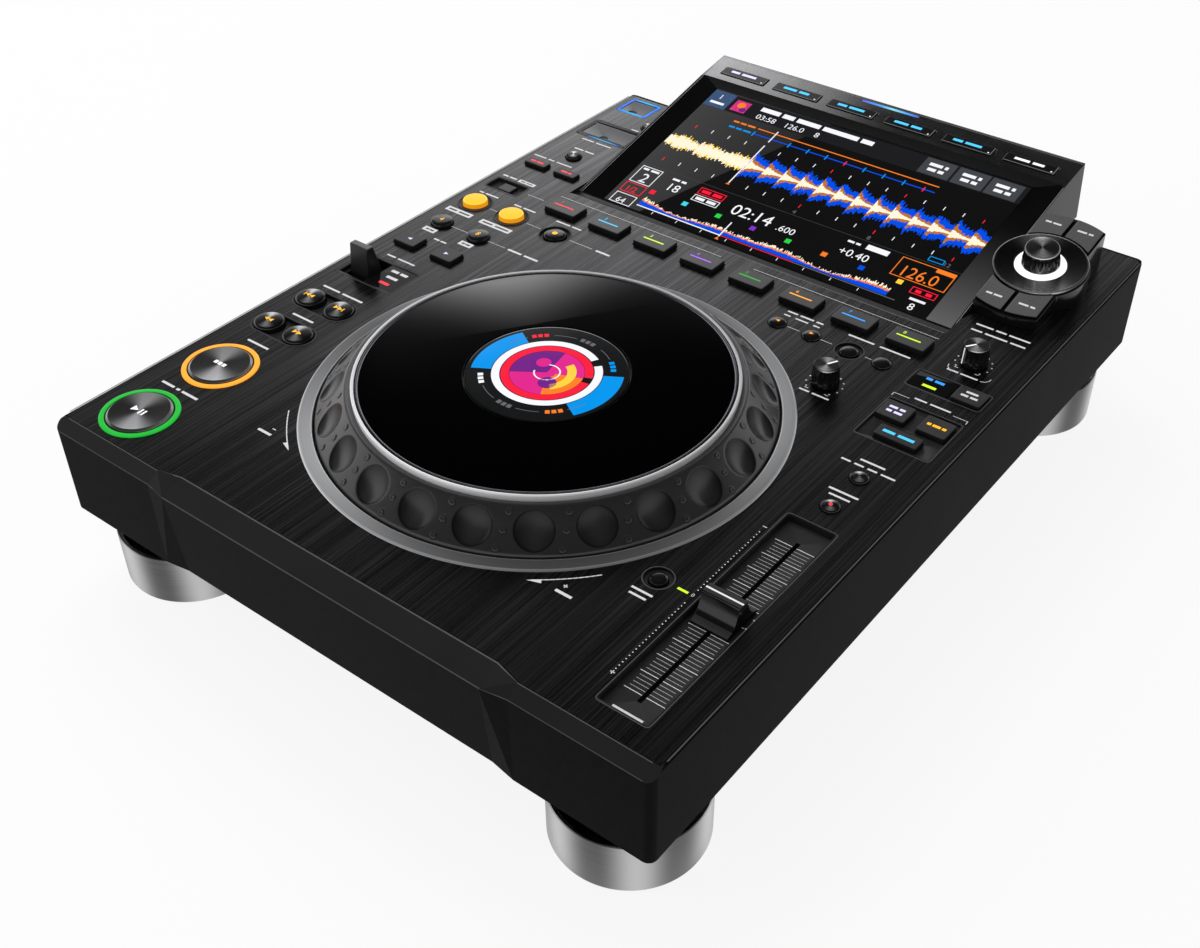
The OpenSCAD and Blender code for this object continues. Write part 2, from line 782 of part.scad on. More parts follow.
module jog_display() {
    top = jog_top - window_t - 0.2;
    post_top = web_top + disc_t - window_t - 1.6;
    color("#101114") on_panel([jog_x, jog_back]) {
        disc(jog_screen_d / 2, post_top, top);
        disc(post_r - post_wall - fit, post_top - 4, post_top);
    }
}

module jog_platter() {
    hub_r = post_r + shaft_gap;
    slope = atan2(shoulder_z - edge_top, jog_r - shoulder_r);
    mid_r = (jog_r + shoulder_r) / 2;
    mid_z = (shoulder_z + edge_top) / 2;
    dimple_ball = 16;
    dimple_sink = dimple_ball - sqrt(dimple_ball * dimple_ball - dimple_d * dimple_d / 4);
    color("#222325") on_panel([jog_x, jog_back]) {
        difference() {
            rotate_extrude() polygon([[hub_r, hub_bottom], [hub_r, web_top],
                [rim_r + fit, web_top], [rim_r + fit, shoulder_z - 0.4], [shoulder_r, shoulder_z],
                [jog_r - 0.6, edge_top], [jog_r, edge_top - 0.6], [jog_r, skirt_bottom],
                [jog_r - 2.4, skirt_bottom], [jog_r - 4.6, edge_top - 1.6],
                [shoulder_r - 3.2, web_top - web_t], [hub_r + hub_wall, web_top - web_t],
                [hub_r + hub_wall, hub_bottom]]);
            for (i = [0:dimple_n - 1])
                rotate(i * 360 / dimple_n + dimple_turn) translate([mid_r, 0, mid_z])
                    rotate([0, 90 - slope, 0])
                        translate([0, 0, dimple_ball - dimple_sink]) sphere(dimple_ball);
        }
        for (i = [0:dimple_n - 1], step = [-1, 0, 1])
            rotate((i + 0.5) * 360 / dimple_n + dimple_turn + step)
                translate([mid_r - step * pip_pitch * cos(slope), 0,
                    mid_z + step * pip_pitch * sin(slope)])
                    rotate([0, 90 - slope, 0]) disc(pip_r, -0.6, pip_h);
    }
}

module jog_disc() {
    color("#0c0c0d") on_panel([jog_x, jog_back])
        rotate_extrude() polygon([[0, jog_top - window_t], [0, jog_top],
            [rim_r - rim_w, jog_top], [rim_r - rim_w, jog_top + rim_h - 0.3],
            [rim_r - rim_w + 0.5, jog_top + rim_h], [rim_r - 0.6, jog_top + rim_h],
            [rim_r, jog_top + rim_h - 0.6], [rim_r, web_top],
            [post_r + 3, web_top], [post_r + 3, jog_top - window_t]]);
}

// ---------------------------------------------------------------- screen

// Lays its children on the screen housing's face: x across, y up the slope
module on_face(along)
    translate([0, panel_y + face_foot[0], panel_z + face_foot[1]])
        rotate([screen_tilt, 0, 0]) translate([0, along, 0]) children();

// Lays its children on the key strip above the screen
module on_strip(along)
    translate([0, panel_y + bend_back, panel_z + bend_z])
        rotate([strip_tilt, 0, 0]) translate([0, along, 0]) children();

module screen_key_places(first, last)
    for (i = [first:last])
        on_strip(screen_key_along)
            translate([(i - (screen_key_n - 1) / 2) * screen_key_pitch, 0, 0]) children();

module screen_cell(grow, z0, z1)
    on_face(screen_lift + screen_h / 2)
        slab([screen_w + 2 * grow, screen_h + 2 * grow], 0.5, z0, z1);

// The sloped recess round the screen, open towards the viewer
module screen_recess() {
    low = -screen_sink;
    half = housing_w / 2 - recess_side;
    foot = screen_lift;
    head = screen_lift + screen_h;
    on_face(0) intersection() {
        translate([0, head + 20, 0]) rotate([90, 0, 0]) linear_extrude(screen_h + 40)
            polygon([[-screen_w / 2, low], [-half, 0], [-half, 1], [half, 1], [half, 0],
                [screen_w / 2, low]]);
        across(housing_w, [[foot, low], [foot - recess_foot, 0], [foot - recess_foot, 1],
            [head + recess_top, 1], [head + recess_top, 0], [head, low]]);
    }
}

module display_housing() {
    t = housing_wall;
    color("#1d1e20") difference() {
        translate([0, panel_y, panel_z]) {
            difference() {
                across(housing_w, [[ledge_front, housing_floor], [ledge_front, ledge_top],
                    [face_foot[0] - 1.2, face_foot[1]], face_foot, [bend_back, bend_z],
                    [strip_end, strip_z], [housing_back, overhang_floor],
                    [case_d + fit, overhang_floor], [case_d + fit, housing_floor]]);
                across(housing_w - 2 * t, [[ledge_front + t, housing_floor - 1],
                    [ledge_front + t, face_foot[1] - t], [face_foot[0], face_foot[1] - 2 * t],
                    [bend_back, bend_z - 2 * t], [strip_end - t, strip_z - t - 0.4],
                    [housing_back - 1.6 * t, overhang_floor + t],
                    [case_d - wall - t, overhang_floor + t], [case_d - wall - t, housing_floor - 1]]);
            }
        }
        screen_cell(fit, -screen_t - screen_sink, 1);
        screen_recess();
        screen_key_places(0, screen_key_n - 1)
            slab([screen_key_w + 2 * slip, screen_key_d + 2 * slip], key_corner, -12, 1);
        screen_key_places(0, screen_key_n - 1)
            slab([screen_key_w + 2 * slip + 2 * flange_w, screen_key_d + 2 * slip + 2 * flange_w],
                key_corner, -12, -housing_wall);
        on_strip(strip_led_along) slab(grown(led_strip, fit), 0.5, -12, 1);
    }
}

module display_screen()
    color("#050608") screen_cell(0, -screen_t - screen_sink, -screen_sink);

module screen_key() {
    size = [screen_key_w, screen_key_d];
    slab(size, key_corner, -housing_wall - seat_gap - flange_t, screen_key_rise);
    slab(grown(size, flange_w), key_corner, -housing_wall - seat_gap - flange_t,
        -housing_wall - seat_gap);
}

module screen_keys_left()
    color("#1a1b1d") screen_key_places(0, screen_key_n / 2 - 1) screen_key();

module screen_keys_right()
    color("#1a1b1d") screen_key_places(screen_key_n / 2, screen_key_n - 1) screen_key();

// -------------------------------------------------------------- selector

// Lays its children on the pod's tilted top, with the ring's upper face at z = 0
module on_pod()
    on_panel([pod_x, pod_back], pod_h) rotate([pod_tilt, 0, 0]) children();

module pod_outline(inset) {
    intersection() {
        union() {
            intersection() {
                circle(pod_r - inset);
                square([2 * (pod_half_w - inset), 3 * pod_r], center = true);
            }
            circle(pod_flange_r - inset);
        }
        translate([pod_left - pod_x + inset, -2 * pod_r]) square(4 * pod_r);
    }
}

module pod_key_outline(grow, side) {
    intersection() {
        difference() {
            circle(pod_key_r + grow);
            circle(pod_flange_r + 0.5 - grow);
        }
        translate([side * (pod_key_split / 2 - grow), -2 * pod_r])
            mirror([side < 0 ? 1 : 0, 0, 0]) square([pod_key_half_w - pod_key_split / 2 + 2 * grow,
                4 * pod_r]);
    }
}

module half_plane(end)
    translate([-2 * pod_r, end > 0 ? 0 : -4 * pod_r]) square(4 * pod_r);

module pod_keys(end, grow, z0, z1)
    on_pod() translate([0, 0, z0]) linear_extrude(z1 - z0) for (side = [-1, 1])
        intersection() {
            pod_key_outline(grow, side);
            half_plane(end);
        }

module pod_base() {
    top = -pod_drop;
    color("#141415") difference() {
        on_panel([pod_x, pod_back]) linear_extrude(40) pod_outline(0);
        on_pod() translate([-60, -60, top]) cube([120, 120, 60]);
        difference() {
            on_panel([pod_x, pod_back], -1) linear_extrude(40) pod_outline(pod_wall);
            on_pod() translate([-60, -60, top - pod_wall]) cube([120, 120, 60]);
        }
        for (end = [-1, 1]) pod_keys(end, slip, -12, 1);
        on_pod() disc(shaft_r + shaft_gap, -12, 1);
    }
}

module pod_key_set(end) {
    seat = -pod_drop - pod_wall;
    pod_keys(end, 0, seat - seat_gap - flange_t, pod_key_top);
    intersection() {
        pod_keys(end, 0.7, seat - seat_gap - flange_t, seat - seat_gap);
        on_panel([pod_x, pod_back], -1) linear_extrude(40) pod_outline(pod_wall + slip);
    }
}

module selector_keys_rear() color("#3c3d40") pod_key_set(1);
module selector_keys_front() color("#3c3d40") pod_key_set(-1);

module selector_shaft() {
    collar_top = -pod_drop - pod_wall - seat_gap;
    color("#8b8d90") on_pod() {
        disc(shaft_r, -shaft_l, selector_travel + 0.4);
        disc(shaft_r + flange_w, collar_top - flange_t, collar_top);
    }
}

module selector_knob() {
    low = lit_disc_top + selector_travel + slip;
    bore = shaft_r + shaft_gap;
    color("#8b8d90") on_pod() difference() {
        union() {
            disc(selector_skirt_r, low, low + 2.6);
            disc(selector_skirt_r - 0.9, low + 2.6 - eps, low + 5);
            disc(selector_r, low + 5 - eps, selector_h);
        }
        disc(bore, low - 1, selector_travel + 0.5);
        for (i = [0:selector_flutes - 1])
            rotate(i * 360 / selector_flutes) translate([selector_skirt_r + 0.7, 0, 0])
                disc(1.3, low - 1, low + 4.4);
    }
}

// ------------------------------------------------------------------ feet

module feet() {
    bottom = pad_out;
    top = bottom + cup_h;
    r = cup_d / 2;
    bevel = 2;
    color("#c9cacc") foot_places() {
        rotate_extrude() polygon([[0, bottom + 1], [28, bottom + 1], [28, bottom],
            [r - bevel, bottom], [r - 0.6, bottom + 0.6], [r, bottom + bevel], [r, top],
            [r - cup_wall, top], [r - cup_wall, bottom + 4], [foot_stem_d / 2, bottom + 4],
            [foot_stem_d / 2, foot_h], [0, foot_h]]);
    }
}

module foot_pads()
    color("#151515") foot_places() cylinder(r = 28 - fit, h = pad_out + 1);

// ---------------------------------------------------------------- inside

// A board that hangs below the panel on short posts
module board(x0, x1, back0, back1, posts) {
    on_panel([x0, back0], board_top - board_t) cube([x1 - x0, back1 - back0, board_t]);
    for (p = posts)
        on_panel(p) disc(1.8, board_top - eps, panel_under);
}

module key_boards() {
    left_out = left_x + 4.5;
    right_out = right_x - 4.5;
    left_in = jog_x - carrier_r - 3.9;
    right_in = jog_x + carrier_r + 3.1;
    difference() {
        union() {
            board(left_out, left_in, 4, 344, [[left_out + 2, 44], [left_in - 2, 44],
                [left_out + 2, 188], [left_in - 2, 188], [left_out + 2, 318], [left_in - 3, 340]]);
            board(left_out + 1, left_in, 346, 395, [[left_in - 3, 349], [left_in - 3, 393]]);
            board(left_in + 1, right_in - 2, 264, 290, [[left_in + 3.5, 267], [jog_x, 266],
                [right_in - 4.5, 287.5]]);
            board(reloop_at[0] - 19.7, reloop_at[0] + 16.3, 243, 264 - slip,
                [[reloop_at[0] + 13.3, 246]]);
            board(cue_call_at[0] - 16, right_in - 2, 246, 264 - slip,
                [[cue_call_at[0] + 19.6, 249], [right_in - 4.5, 249]]);
            board(jog_adjust_at[0] - 6, jog_adjust_at[0] + 8, 218, 246 - slip,
                [[jog_adjust_at[0] + 5.5, 240]]);
            board(right_in, right_out, 144, 300, [[right_in + 2.5, 146.5],
                [right_out - 2.5, 190], [right_out - 2.5, 297]]);
            board(tempo_reset_at[0] - 4.8, tempo_reset_at[0] + 12.4, 62, 82,
                [[tempo_reset_at[0] + 9.9, 66]]);
        }
        on_panel(lever_at) translate([lever_slot_x, 0, 0])
            slab([lever_w + 10, 16], 1, board_top - board_t - 1, board_top + 1);
    }
}

// The power supply and the main board, on the case's floor
module floor_units() {
    floor_z = foot_h + wall;
    translate([power_at[0] - power_box[0] / 2, panel_y + power_at[1] - power_box[1] / 2, floor_z])
        cube(power_box);
    translate([main_at[0] - main_board[0] / 2, panel_y + main_at[1] - main_board[1] / 2,
        floor_z + post_h]) cube([main_board[0], main_board[1], board_t]);
    for (x = [-1, 1], y = [-1, 1])
        translate([main_at[0] + x * (main_board[0] / 2 - 6),
            panel_y + main_at[1] + y * (main_board[1] / 2 - 6), floor_z])
            cylinder(r = 3, h = post_h + eps);
}

module inner_units() color("#2f6b3c") {
    key_boards();
    floor_units();
}

module rear_jacks() {
    wall_in = panel_y + case_d - wall;
    z = foot_h + jack_z;
    color("#2a2a2c") {
        for (x = phono_x)
            translate([x, wall_in - phono_in, z]) rotate([-90, 0, 0]) difference() {
                union() {
                    cylinder(d = phono_d + 4, h = phono_in - fit);
                    cylinder(d = phono_neck_d, h = phono_in + wall + eps);
                    translate([0, 0, phono_in + wall]) cylinder(d = phono_d, h = phono_l);
                }
                translate([0, 0, phono_in + wall]) cylinder(d = phono_hole_d, h = phono_l + 1);
            }
        socket(lan_at, lan_size, lan_hole, z);
        socket(usb_b_at, usb_b_size, usb_b_hole, z);
        socket(inlet_at, inlet_size, inlet_hole, z);
    }
}

// A square connector: a block through the rear wall with a hollow from behind
module socket(x, size, hole, z) {
    back = panel_y + case_d + 0.4;
    translate([x, back, z]) difference() {
        union() {
            translate([-size[0] / 2, -size[2], -size[1] / 2]) cube([size[0], size[2], size[1]]);
            translate([-size[0] / 2 - 2, -size[2], -size[1] / 2 - 2])
                cube([size[0] + 4, size[2] - wall - 0.4 - fit, size[1] + 4]);
        }
        translate([-hole[0] / 2, -hole[2], -hole[1] / 2]) cube([hole[0], hole[2] + 1, hole[1]]);
    }
}

// -------------------------------------------------------------- controls

module play_button()
    color("#9a9c9e") on_panel(play_at) round_button(transport_d / 2, transport_rise, cup_seat);

module cue_button()
    color("#9a9c9e") on_panel(cue_at) round_button(transport_d / 2, transport_rise, cup_seat);

module search_buttons()
    color("#4a4b4e") on_panel(search_at) pair(search_pitch)
        round_button(search_r, search_rise, cup_seat);

module track_search_buttons()
    color("#4a4b4e") on_panel(track_search_at) pair(search_pitch)
        round_button(search_r, search_rise, cup_seat);

module direction_lever() {
    color("#1a1a1b") on_panel(lever_at) translate([lever_slot_x, 0, lever_pivot_z]) {
        across(lever_w, lever_profile);
        rotate([0, 90, 0])
            cylinder(r = lever_pin_r, h = lever_w + 2 * (slip + lever_ear_t), center = true);
    }
}

module beat_jump_keys()
    color("#303134") on_panel(beat_jump_at) pair(pair_pitch) square_key(jump_key, jump_rise);

module beat_loop_buttons()
    color("#303134") on_panel(beat_loop_at) pair(pair_pitch) round_button(loop_step_r, jump_rise);

module loop_in_button()
    color("#f2d400") on_panel(loop_in_at) round_button(loop_cap_r, loop_rise, cup_seat);

module loop_out_button()
    color("#f2d400") on_panel(loop_out_at) round_button(loop_cap_r, loop_rise, cup_seat);

module reloop_button()
    color("#303134") on_panel(reloop_at) round_button(reloop_r, recessed_rise, cup_seat);

module recall_key()
    color("#303134") on_panel(recall_at) square_key(recall_key_size, -0.6, cup_seat);

module mode_keys()
    color("#54565a") on_panel(mode_at) pair(mode_pitch) square_key(mode_key, mode_rise);

module time_button()
    color("#303134") on_panel(time_at) round_button(time_r, mode_rise);

module hot_cue_key(i)
    color("#3b3c40") on_panel([pad_row_at[0] + (i - 4.5) * pad_key_pitch, pad_row_at[1]])
        square_key([pad_key_w, pad_key_d], pad_key_rise);

module lid(size) {
    hinge_y = size[1] / 2 - hinge_r;
    axis_z = -flap_sink - flap_t / 2;
    difference() {
        translate([0, -hinge_r / 2, 0])
            slab([size[0], size[1] - hinge_r], 0.3, -flap_sink - flap_t, -flap_sink);
        translate([0, -size[1] / 2, 0]) disc(notch_r, -flap_sink - 1, 1);
    }
    translate([0, hinge_y, axis_z]) rotate([0, 90, 0])
        cylinder(r = hinge_r, h = size[0] + 2 * (slip + hinge_stub - 0.1), center = true);
}

module usb_flap() color("#6f7276") on_panel(usb_at) lid(flap_size);

module card_lid() color("#6f7276") on_panel(card_at) translate([0, 0.4, 0]) lid(card_size);

module usb_stop_button()
    color("#303134") on_panel(usb_stop_at) round_button(usb_stop_r, mode_rise);

module cue_call_buttons()
    color("#303134") on_panel(cue_call_at) pair(call_pitch)
        round_button(small_button_r, round_small_rise);

module delete_button()
    color("#303134") on_panel(delete_at) round_button(small_button_r, recessed_rise, cup_seat);

module memory_button()
    color("#303134") on_panel(memory_at) round_button(small_button_r, round_small_rise);

module small_knob() {
    taper = 0.7;
    bevel = 0.6;
    rotate_extrude() polygon([[0, slip], [knob_d / 2, slip],
        [knob_d / 2 - taper, knob_h - bevel], [knob_d / 2 - taper - bevel, knob_h], [0, knob_h]]);
    disc(shaft_r, board_top + seat_gap, slip + eps);
}

module jog_adjust_knob() color("#2b2c2e") on_panel(jog_adjust_at) small_knob();
module vinyl_speed_knob() color("#2b2c2e") on_panel(vinyl_speed_at) small_knob();

module jog_mode_key()
    color("#46484b") on_panel(jog_mode_at) translate([jog_mode_key_x, 0, 0])
        square_key(jog_mode_key_size, tray_key_rise, cup_seat);

module beat_sync_key()
    color("#46484b") on_panel(sync_at) translate([-sync_key_x, sync_key_back, 0])
        square_key(sync_key_size, tray_key_rise, cup_seat);

module master_key()
    color("#46484b") on_panel(sync_at) translate([sync_key_x, sync_key_back, 0])
        square_key(sync_key_size, tray_key_rise, cup_seat);

module key_sync_key()
    color("#46484b") on_panel(sync_at) translate([0, key_sync_front, 0])
        square_key(key_sync_size, tray_key_rise, cup_seat);

module tempo_range_button()
    color("#303134") on_panel(tempo_range_at) round_button(round_small_r, round_small_rise);

module master_tempo_button()
    color("#303134") on_panel(master_tempo_at) round_button(round_small_r, round_small_rise);

module tempo_reset_button()
    color("#303134") on_panel(tempo_reset_at) round_button(reset_r, recessed_rise, cup_seat);

module tempo_slider() {
    low = slip - well_depth;
    half = slider_cap[1] / 2;
    carriage_top = -well_depth - tray_t - seat_gap;
    color("#3a3b3d") on_panel(slider_at) {
        across(slider_cap[0], [[-half, low], [-half, low + 1.6], [-half + 3, low + 2.6],
            [-5, 1.8], [-3, 7], [-2.8, slider_top - 0.4], [-2.4, slider_top],
            [2.4, slider_top], [2.8, slider_top - 0.4], [3, 7],
            [5, 1.8], [half - 3, low + 2.6], [half, low + 1.6], [half, low]]);
        slab(slider_blade, 0.2, carriage_top - eps, low + eps);
        slab([carriage[0], carriage[1]], 0.4, carriage_top - carriage[2], carriage_top);
    }
}

bottom_case();
top_panel();
panel_bezels();
light_guides();
usb_frame();
trim_rings();
jog_base();
jog_display();
jog_platter();
jog_disc();
display_housing();
display_screen();
pod_base();
feet();
foot_pads();
inner_units();
rear_jacks();
play_button();
cue_button();
track_search_buttons();
search_buttons();
direction_lever();
beat_jump_keys();
beat_loop_buttons();
loop_in_button();
loop_out_button();
reloop_button();
recall_key();
mode_keys();
time_button();
for (i = [1:8])
    hot_cue_key(i);
usb_flap();
usb_stop_button();
card_lid();
cue_call_buttons();
delete_button();
memory_button();
jog_adjust_knob();
vinyl_speed_knob();
jog_mode_key();
beat_sync_key();
master_key();
key_sync_key();
tempo_range_button();
master_tempo_button();
tempo_reset_button();
tempo_slider();
selector_shaft();
selector_knob();
selector_keys_rear();
selector_keys_front();
screen_keys_left();
screen_keys_right();
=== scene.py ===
import json
import math
import random

import bmesh
import bpy
from mathutils import Matrix, Vector


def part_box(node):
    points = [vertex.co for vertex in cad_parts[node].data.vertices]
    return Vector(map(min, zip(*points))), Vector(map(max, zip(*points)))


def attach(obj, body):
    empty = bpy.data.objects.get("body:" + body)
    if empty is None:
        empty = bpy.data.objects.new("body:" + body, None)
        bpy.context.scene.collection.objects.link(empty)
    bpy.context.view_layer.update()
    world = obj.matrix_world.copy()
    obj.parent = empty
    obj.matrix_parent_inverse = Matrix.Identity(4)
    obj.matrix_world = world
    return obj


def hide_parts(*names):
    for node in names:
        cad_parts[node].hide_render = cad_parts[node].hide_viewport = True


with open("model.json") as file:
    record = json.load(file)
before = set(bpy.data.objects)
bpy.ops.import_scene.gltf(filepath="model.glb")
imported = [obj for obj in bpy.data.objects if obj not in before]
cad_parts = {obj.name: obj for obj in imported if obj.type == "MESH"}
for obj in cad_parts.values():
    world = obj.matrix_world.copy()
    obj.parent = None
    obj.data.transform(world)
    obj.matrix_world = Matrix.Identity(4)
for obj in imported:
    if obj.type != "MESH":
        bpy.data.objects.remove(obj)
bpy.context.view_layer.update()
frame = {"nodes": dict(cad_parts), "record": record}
print("frame loaded")

scene = bpy.context.scene
scene.view_settings.view_transform = "Standard"
mm = 0.001
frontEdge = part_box("top_panel")[0].y   # the panel's front edge
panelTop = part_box("top_panel")[1].z    # its upper face


# ---- places: everything is drawn in millimetres and set down by one of these

def onPanel(x, back, z=0.0):
    return Matrix.Translation((x * mm, frontEdge + back * mm, panelTop + z * mm)) @ Matrix.Scale(mm, 4)


def tilted(across, back, up, degrees, x=0.0, along=0.0, z=0.0):
    turn = Matrix.Rotation(math.radians(degrees), 4, "X")
    foot = Matrix.Translation((across * mm, frontEdge + back * mm, panelTop + up * mm))
    return foot @ turn @ Matrix.Translation((x * mm, along * mm, z * mm)) @ Matrix.Scale(mm, 4)


housing = {"faceBack": 301.7, "faceUp": -2.2, "faceTilt": 13.1, "bendBack": 418.0, "stripTilt": 9.9,
           "glassSink": 1.6, "glassLift": 2.0, "glassWidth": 199.2}
housing["bendUp"] = housing["faceUp"] + math.tan(math.radians(housing["faceTilt"])) * (
    housing["bendBack"] - housing["faceBack"])


def onFace(x, along, z=0.0):   # the screen housing's face
    return tilted(0, housing["faceBack"], housing["faceUp"], housing["faceTilt"], x, along, z)


def onStrip(x, along):         # the key strip behind the screen
    return tilted(0, housing["bendBack"], housing["bendUp"], housing["stripTilt"], x, along)


pod = {"x": 131.2, "back": 359.0, "up": 14.0, "tilt": 10.0}


def onPod():
    return tilted(pod["x"], pod["back"], pod["up"], pod["tilt"])


def centreOf(x, back, up=0.0):
    # a point of the panel in metres, for a finish that turns round it
    return (x * mm, frontEdge + back * mm, panelTop + up * mm)


def polar(r, angle, x=0.0, y=0.0):
    return (x + r * math.cos(angle), y + r * math.sin(angle))


# ---- shader maths: a wrapped socket with the usual operators

class Wire:
    def __init__(self, finish, socket):
        self.finish = finish
        self.socket = socket

    def math(self, operation, *others, swapped=False):
        values = [self, *others]
        if swapped:
            values.reverse()
        return self.finish.node("ShaderNodeMath", {"operation": operation}, dict(enumerate(values)))

    def __add__(self, other):
        return self.math("ADD", other)

    __radd__ = __add__

    def __mul__(self, other):
        return self.math("MULTIPLY", other)

    __rmul__ = __mul__

    def __sub__(self, other):
        return self.math("SUBTRACT", other)

    def __rsub__(self, other):
        return self.math("SUBTRACT", other, swapped=True)

    def __truediv__(self, other):
        return self.math("DIVIDE", other)

    def __pow__(self, other):
        return self.math("POWER", other)

    def __lt__(self, other):
        return self.math("LESS_THAN", other)


class Finish:
    def __init__(self, name, owner=None):
        self.material = owner or bpy.data.materials.new(name)
        self.material.use_nodes = True
        self.tree = self.material.node_tree
        self.tree.nodes.clear()

    def seen(self):
        # 1 for a ray from the camera, straight or by way of gloss or glass
        camera, glossy, through = (self.node("ShaderNodeLightPath", out=name) for name in
                                   ("Is Camera Ray", "Is Glossy Ray", "Is Transmission Ray"))
        return camera.math("MAXIMUM", glossy).math("MAXIMUM", through)

    def node(self, kind, settings=None, values=None, out=0):
        made = self.tree.nodes.new(kind)
        for key, value in (settings or {}).items():
            if key == "stops":
                stops = made.color_ramp.elements
                while len(stops) < len(value):
                    stops.new(1.0)
                for stop, (at, colour) in zip(stops, value):
                    stop.position = at
                    stop.color = (*colour, 1.0)
            else:
                setattr(made, key, value)
        for key, value in (values or {}).items():
            if isinstance(value, Wire):
                self.tree.links.new(value.socket, made.inputs[key])
            else:
                if isinstance(value, tuple) and len(value) == 3 and made.inputs[key].type == "RGBA":
                    value = (*value, 1.0)
                made.inputs[key].default_value = value
        return Wire(self, made.outputs[out]) if len(made.outputs) else None

    def point(self, centre=(0, 0, 0), scale=(1, 1, 1), turn=(0, 0, 0)):
        place = self.node("ShaderNodeTexCoord", out="Object")
        return self.node("ShaderNodeMapping", {"vector_type": "TEXTURE"}, {
            "Vector": place, "Location": centre, "Rotation": turn, "Scale": tuple(1 / s for s in scale)})

    def noise(self, point, scale=1.0, detail=2.0, rough=0.5):
        return self.node("ShaderNodeTexNoise", {}, {
            "Vector": point, "Scale": scale, "Detail": detail, "Roughness": rough})

    def groove(self, at, detail):
        # noise along one number, such as the rings that a lathe leaves
        return self.node("ShaderNodeTexNoise", {"noise_dimensions": "1D"}, {
            "W": at, "Detail": detail, "Scale": 1.0})

    def axis(self, point, name):
        return self.node("ShaderNodeSeparateXYZ", {}, {0: point}, name)

    def around(self, place):
        # the share of a turn from the far left, and the distance from the upright axis
        flat = self.node("ShaderNodeVectorMath", {"operation": "MULTIPLY"}, {0: place, 1: (1, 1, 0)})
        radius = self.node("ShaderNodeVectorMath", {"operation": "LENGTH"}, {0: flat}, "Value")
        return self.node("ShaderNodeTexGradient", {"gradient_type": "RADIAL"}, {"Vector": flat}), radius

    def lobe(self, turn, toward, sharp, lobes=1):
        # a soft painted highlight wedge that points towards an azimuth
        angle = (turn * (2 * math.pi) - math.radians(toward + 180)) * lobes
        return ((angle.math("COSINE") + 1.0) * 0.5) ** sharp

    def between(self, factor, low, high):
        return self.node("ShaderNodeMapRange", {}, {
            "Value": factor, "To Min": low, "To Max": high})

    def share(self, value, start, end):
        return self.node("ShaderNodeMapRange", {}, {"Value": value, "From Min": start, "From Max": end})

    def ramp(self, factor, stops):
        return self.node("ShaderNodeValToRGB", {"stops": stops}, {"Fac": factor})

    def blend(self, factor, low, high):
        return self.node("ShaderNodeMix", {"data_type": "RGBA"}, {0: factor, 6: low, 7: high}, 2)

    def relief(self, height, strength, depth):
        return self.node("ShaderNodeBump", {}, {
            "Height": height, "Strength": strength, "Distance": depth})

    def surface(self, **sockets):
        names = {"colour": "Base Color", "rough": "Roughness", "metal": "Metallic", "normal": "Normal",
                 "coat": "Coat Weight", "coatRough": "Coat Roughness", "gloss": "Specular IOR Level",
                 "aniso": "Anisotropic", "light": "Emission Color", "power": "Emission Strength",
                 "tint": "Specular Tint"}
        shader = self.node("ShaderNodeBsdfPrincipled", {}, {names[k]: v for k, v in sockets.items()})
        self.node("ShaderNodeOutputMaterial", {}, {"Surface": shader})
        return self.material


def shade(colour, factor):
    return tuple(min(1.0, c * factor) for c in colour)


def grey(level):
    return (level, level, level)


def moulded(name, colour, rough=0.5, gloss=0.35, grain=2600.0, depth=0.00002, coat=0.0, edge=0.0):
    # moulded plastic: cloudy colour, fine grain, and edges rubbed a little lighter
    f = Finish(name)
    place = f.point()
    cloud = f.noise(place, 38.0, 3.0)
    speck = f.noise(place, grain, 2.0)
    base = f.blend(cloud, shade(colour, 0.86), shade(colour, 1.16))
    if edge:
        worn = f.node("ShaderNodeNewGeometry", out="Pointiness")
        rub = f.between((worn - 0.51) * 22.0 * f.noise(place, 260.0, 3.0), 0.0, edge)
        base = f.blend(rub, base, shade(colour, 3.2))
    return f.surface(colour=base, rough=f.between(speck + cloud * 0.6, rough - 0.09, rough + 0.02),
                     gloss=gloss, coat=coat, coatRough=0.12, normal=f.relief(speck, 0.35, depth))


def hollowShade(turn, radius):
    # painted shade: the wheel's finger dimples are painted darker from their middles to their edges
    count = platter["dimples"]
    angle = turn * (2 * math.pi * count) - math.radians(platter["offset"]) * count
    across = angle.math("COSINE").math("ARCCOSINE") * radius * (1 / count)
    middle = (platter["slopeIn"] + platter["slopeOut"]) / 2 * mm
    along = (radius - middle) * math.sqrt(2)   # the slope falls by 45 degrees
    share = (across * across + along * along) ** 0.5 / (platter["dimpleWidth"] / 2 * mm)
    return 1.0 - (share < 1.0) * share ** platter["shadeCurve"] * platter["shadeDepth"]


def spun(name, centre, colour, rough=0.3, lines=2400.0, floor=1.0, paintedWedges=(), tilt=0.0, metal=1.0,
         aniso=0.5, cut=0.2, shadeHollows=False):
    # turned metal: rings cut by the lathe, and painted highlight wedges, each with its azimuth, strength,
    # sharpness and lobes, over a floor level that paints the rest darker as shade; shadeHollows adds painted
    # shade in the wheel's dimples
    f = Finish(name)
    place = f.point(centre, turn=(math.radians(tilt), 0, 0))
    turn, radius = f.around(place)
    groove = f.groove(radius * lines + f.axis(place, "Z") * (lines * 0.8), 3.0)
    cloud = f.noise(place, 90.0, 3.0)
    base = f.blend(groove, shade(colour, 0.8), shade(colour, 1.2))
    level = floor
    for toward, strength, sharp, lobes in paintedWedges:
        level = f.lobe(turn, toward, sharp, lobes) * strength + level
    if shadeHollows:
        level = level * hollowShade(turn, radius)
    if paintedWedges:
        base = f.blend(level, grey(0.0), base)
    return f.surface(colour=base, rough=f.between(groove * 0.6 + cloud * 0.4, rough - 0.08, rough + 0.1),
                     metal=metal, aniso=aniso, gloss=0.5, normal=f.relief(groove, cut, 0.00002))


